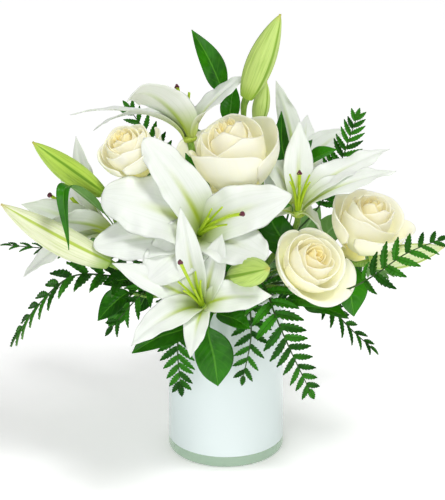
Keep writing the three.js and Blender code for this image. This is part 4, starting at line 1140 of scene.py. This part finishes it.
chance = np.random.default_rng(GROWTH_SEED)
for lily in LILIES:
    lily_stalk(lily, chance)
    lily_petals(lily, chance)
for rose in ROSES:
    rose_stalk(rose, chance)
    rose_head(rose, chance)
for spec in BUDS:
    bud(spec, chance)
for fern in FERNS:
    frond(fern, chance)
for spray in LEAFY_STEMS:
    leafy_stem(spray, chance)

inner = VASE_RADIUS - GLASS_WALL
coat = [(VASE_RADIUS, COAT_FOOT), (VASE_RADIUS, VASE_HEIGHT), (inner, VASE_HEIGHT), (inner, GLASS_FLOOR)]
coat = rounded([(0, COAT_FOOT), *coat, (0, GLASS_FLOOR)], (0.05, 1.4, 1.4, 3.0))
lathe("vase_coated_wall", coat, COATED_GLASS, "white_glass", 128, "vase")
clear_top = COAT_FOOT - 0.05  # so the two glasses don't share a face
foot = rounded([(0, 0), (VASE_RADIUS, 0), (VASE_RADIUS, clear_top), (0, clear_top)], (4.5, 0.3))
lathe("vase_clear_foot", foot, CLEAR_FOOT, "white_glass", 128, "vase")
reach = inner - WATER_ROOM
bottom = GLASS_FLOOR + WATER_ROOM
water = rounded([(0, bottom), (reach, bottom), (reach, WATER_LEVEL), (0, WATER_LEVEL)], (3.0, 0.6))
lathe("vase_water", water, WATER, "water", 96, "water")

# ---- floor, light and camera ----

FLOOR_HALF = 12.0
FLOOR_GLOW = 0.32  # light of its own, so that it stays as pale as in the photograph
SKY_STRENGTH = 0.32


def plain_floor():
    """A pale sheet under the part, far wider than the view."""
    mesh = bpy.data.meshes.new("floor")
    corners = [(-1, -1, 0), (1, -1, 0), (1, 1, 0), (-1, 1, 0)]
    mesh.from_pydata(np.array(corners) * FLOOR_HALF, [], [(0, 1, 2, 3)])
    floor = bpy.data.objects.new("floor", mesh)
    bpy.context.scene.collection.objects.link(floor)
    glow = dict(Emission_Color="ffffff", Emission_Strength=FLOOR_GLOW)
    material, _ = finish_of("studio_floor_white", Base_Color="ffffff", Roughness=0.9, **glow)
    mesh.materials.append(material)


def lamp(name, place_at, aim, size, watts):
    """A square soft white light that looks from its place at a point."""
    light = bpy.data.lights.new(name, "AREA")
    light.size = size
    light.energy = watts
    holder = bpy.data.objects.new(name, light)
    holder.location = place_at
    look = np.array(aim) - np.array(place_at)
    holder.rotation_euler = Vector(look).to_track_quat("-Z", "Y").to_euler()
    bpy.context.scene.collection.objects.link(holder)


def camera():
    """A long lens far off at the photograph's tilt: its frame is as many millimetres tall at the vase's
    axis as the photograph is, and its middle is the photograph's middle."""
    lens = bpy.data.cameras.new("view")
    lens.sensor_width = 36.0
    tall = PHOTO_HEIGHT * MM_PER_PIXEL * MM
    lens.lens = lens.sensor_width * CAMERA_DISTANCE / tall
    lens.clip_end = 100.0
    middle = place(PHOTO_WIDTH / 2, PHOTO_HEIGHT / 2, 0)
    holder = bpy.data.objects.new("view", lens)
    holder.location = middle + towards(0, 0, 1) * CAMERA_DISTANCE
    holder.rotation_euler = (math.pi / 2 - TILT, 0, 0)
    bpy.context.scene.collection.objects.link(holder)
    bpy.context.scene.camera = holder


plain_floor()
lamp("key", (0.8, -0.9, 2.5), (0, 0, 0.2), 0.7, 34)
lamp("fill", (-0.5, -2.4, 0.9), (0, 0, 0.2), 1.4, 18)
lamp("rim", (-0.6, 1.6, 1.6), (0, 0, 0.25), 1.2, 5)
world = bpy.data.worlds.new("studio")
world.use_nodes = True
sky = world.node_tree.nodes["Background"].inputs
sky["Color"].default_value = linear("ffffff")
sky["Strength"].default_value = SKY_STRENGTH
bpy.context.scene.world = world
bpy.context.scene.view_settings.view_transform = "Standard"
camera()
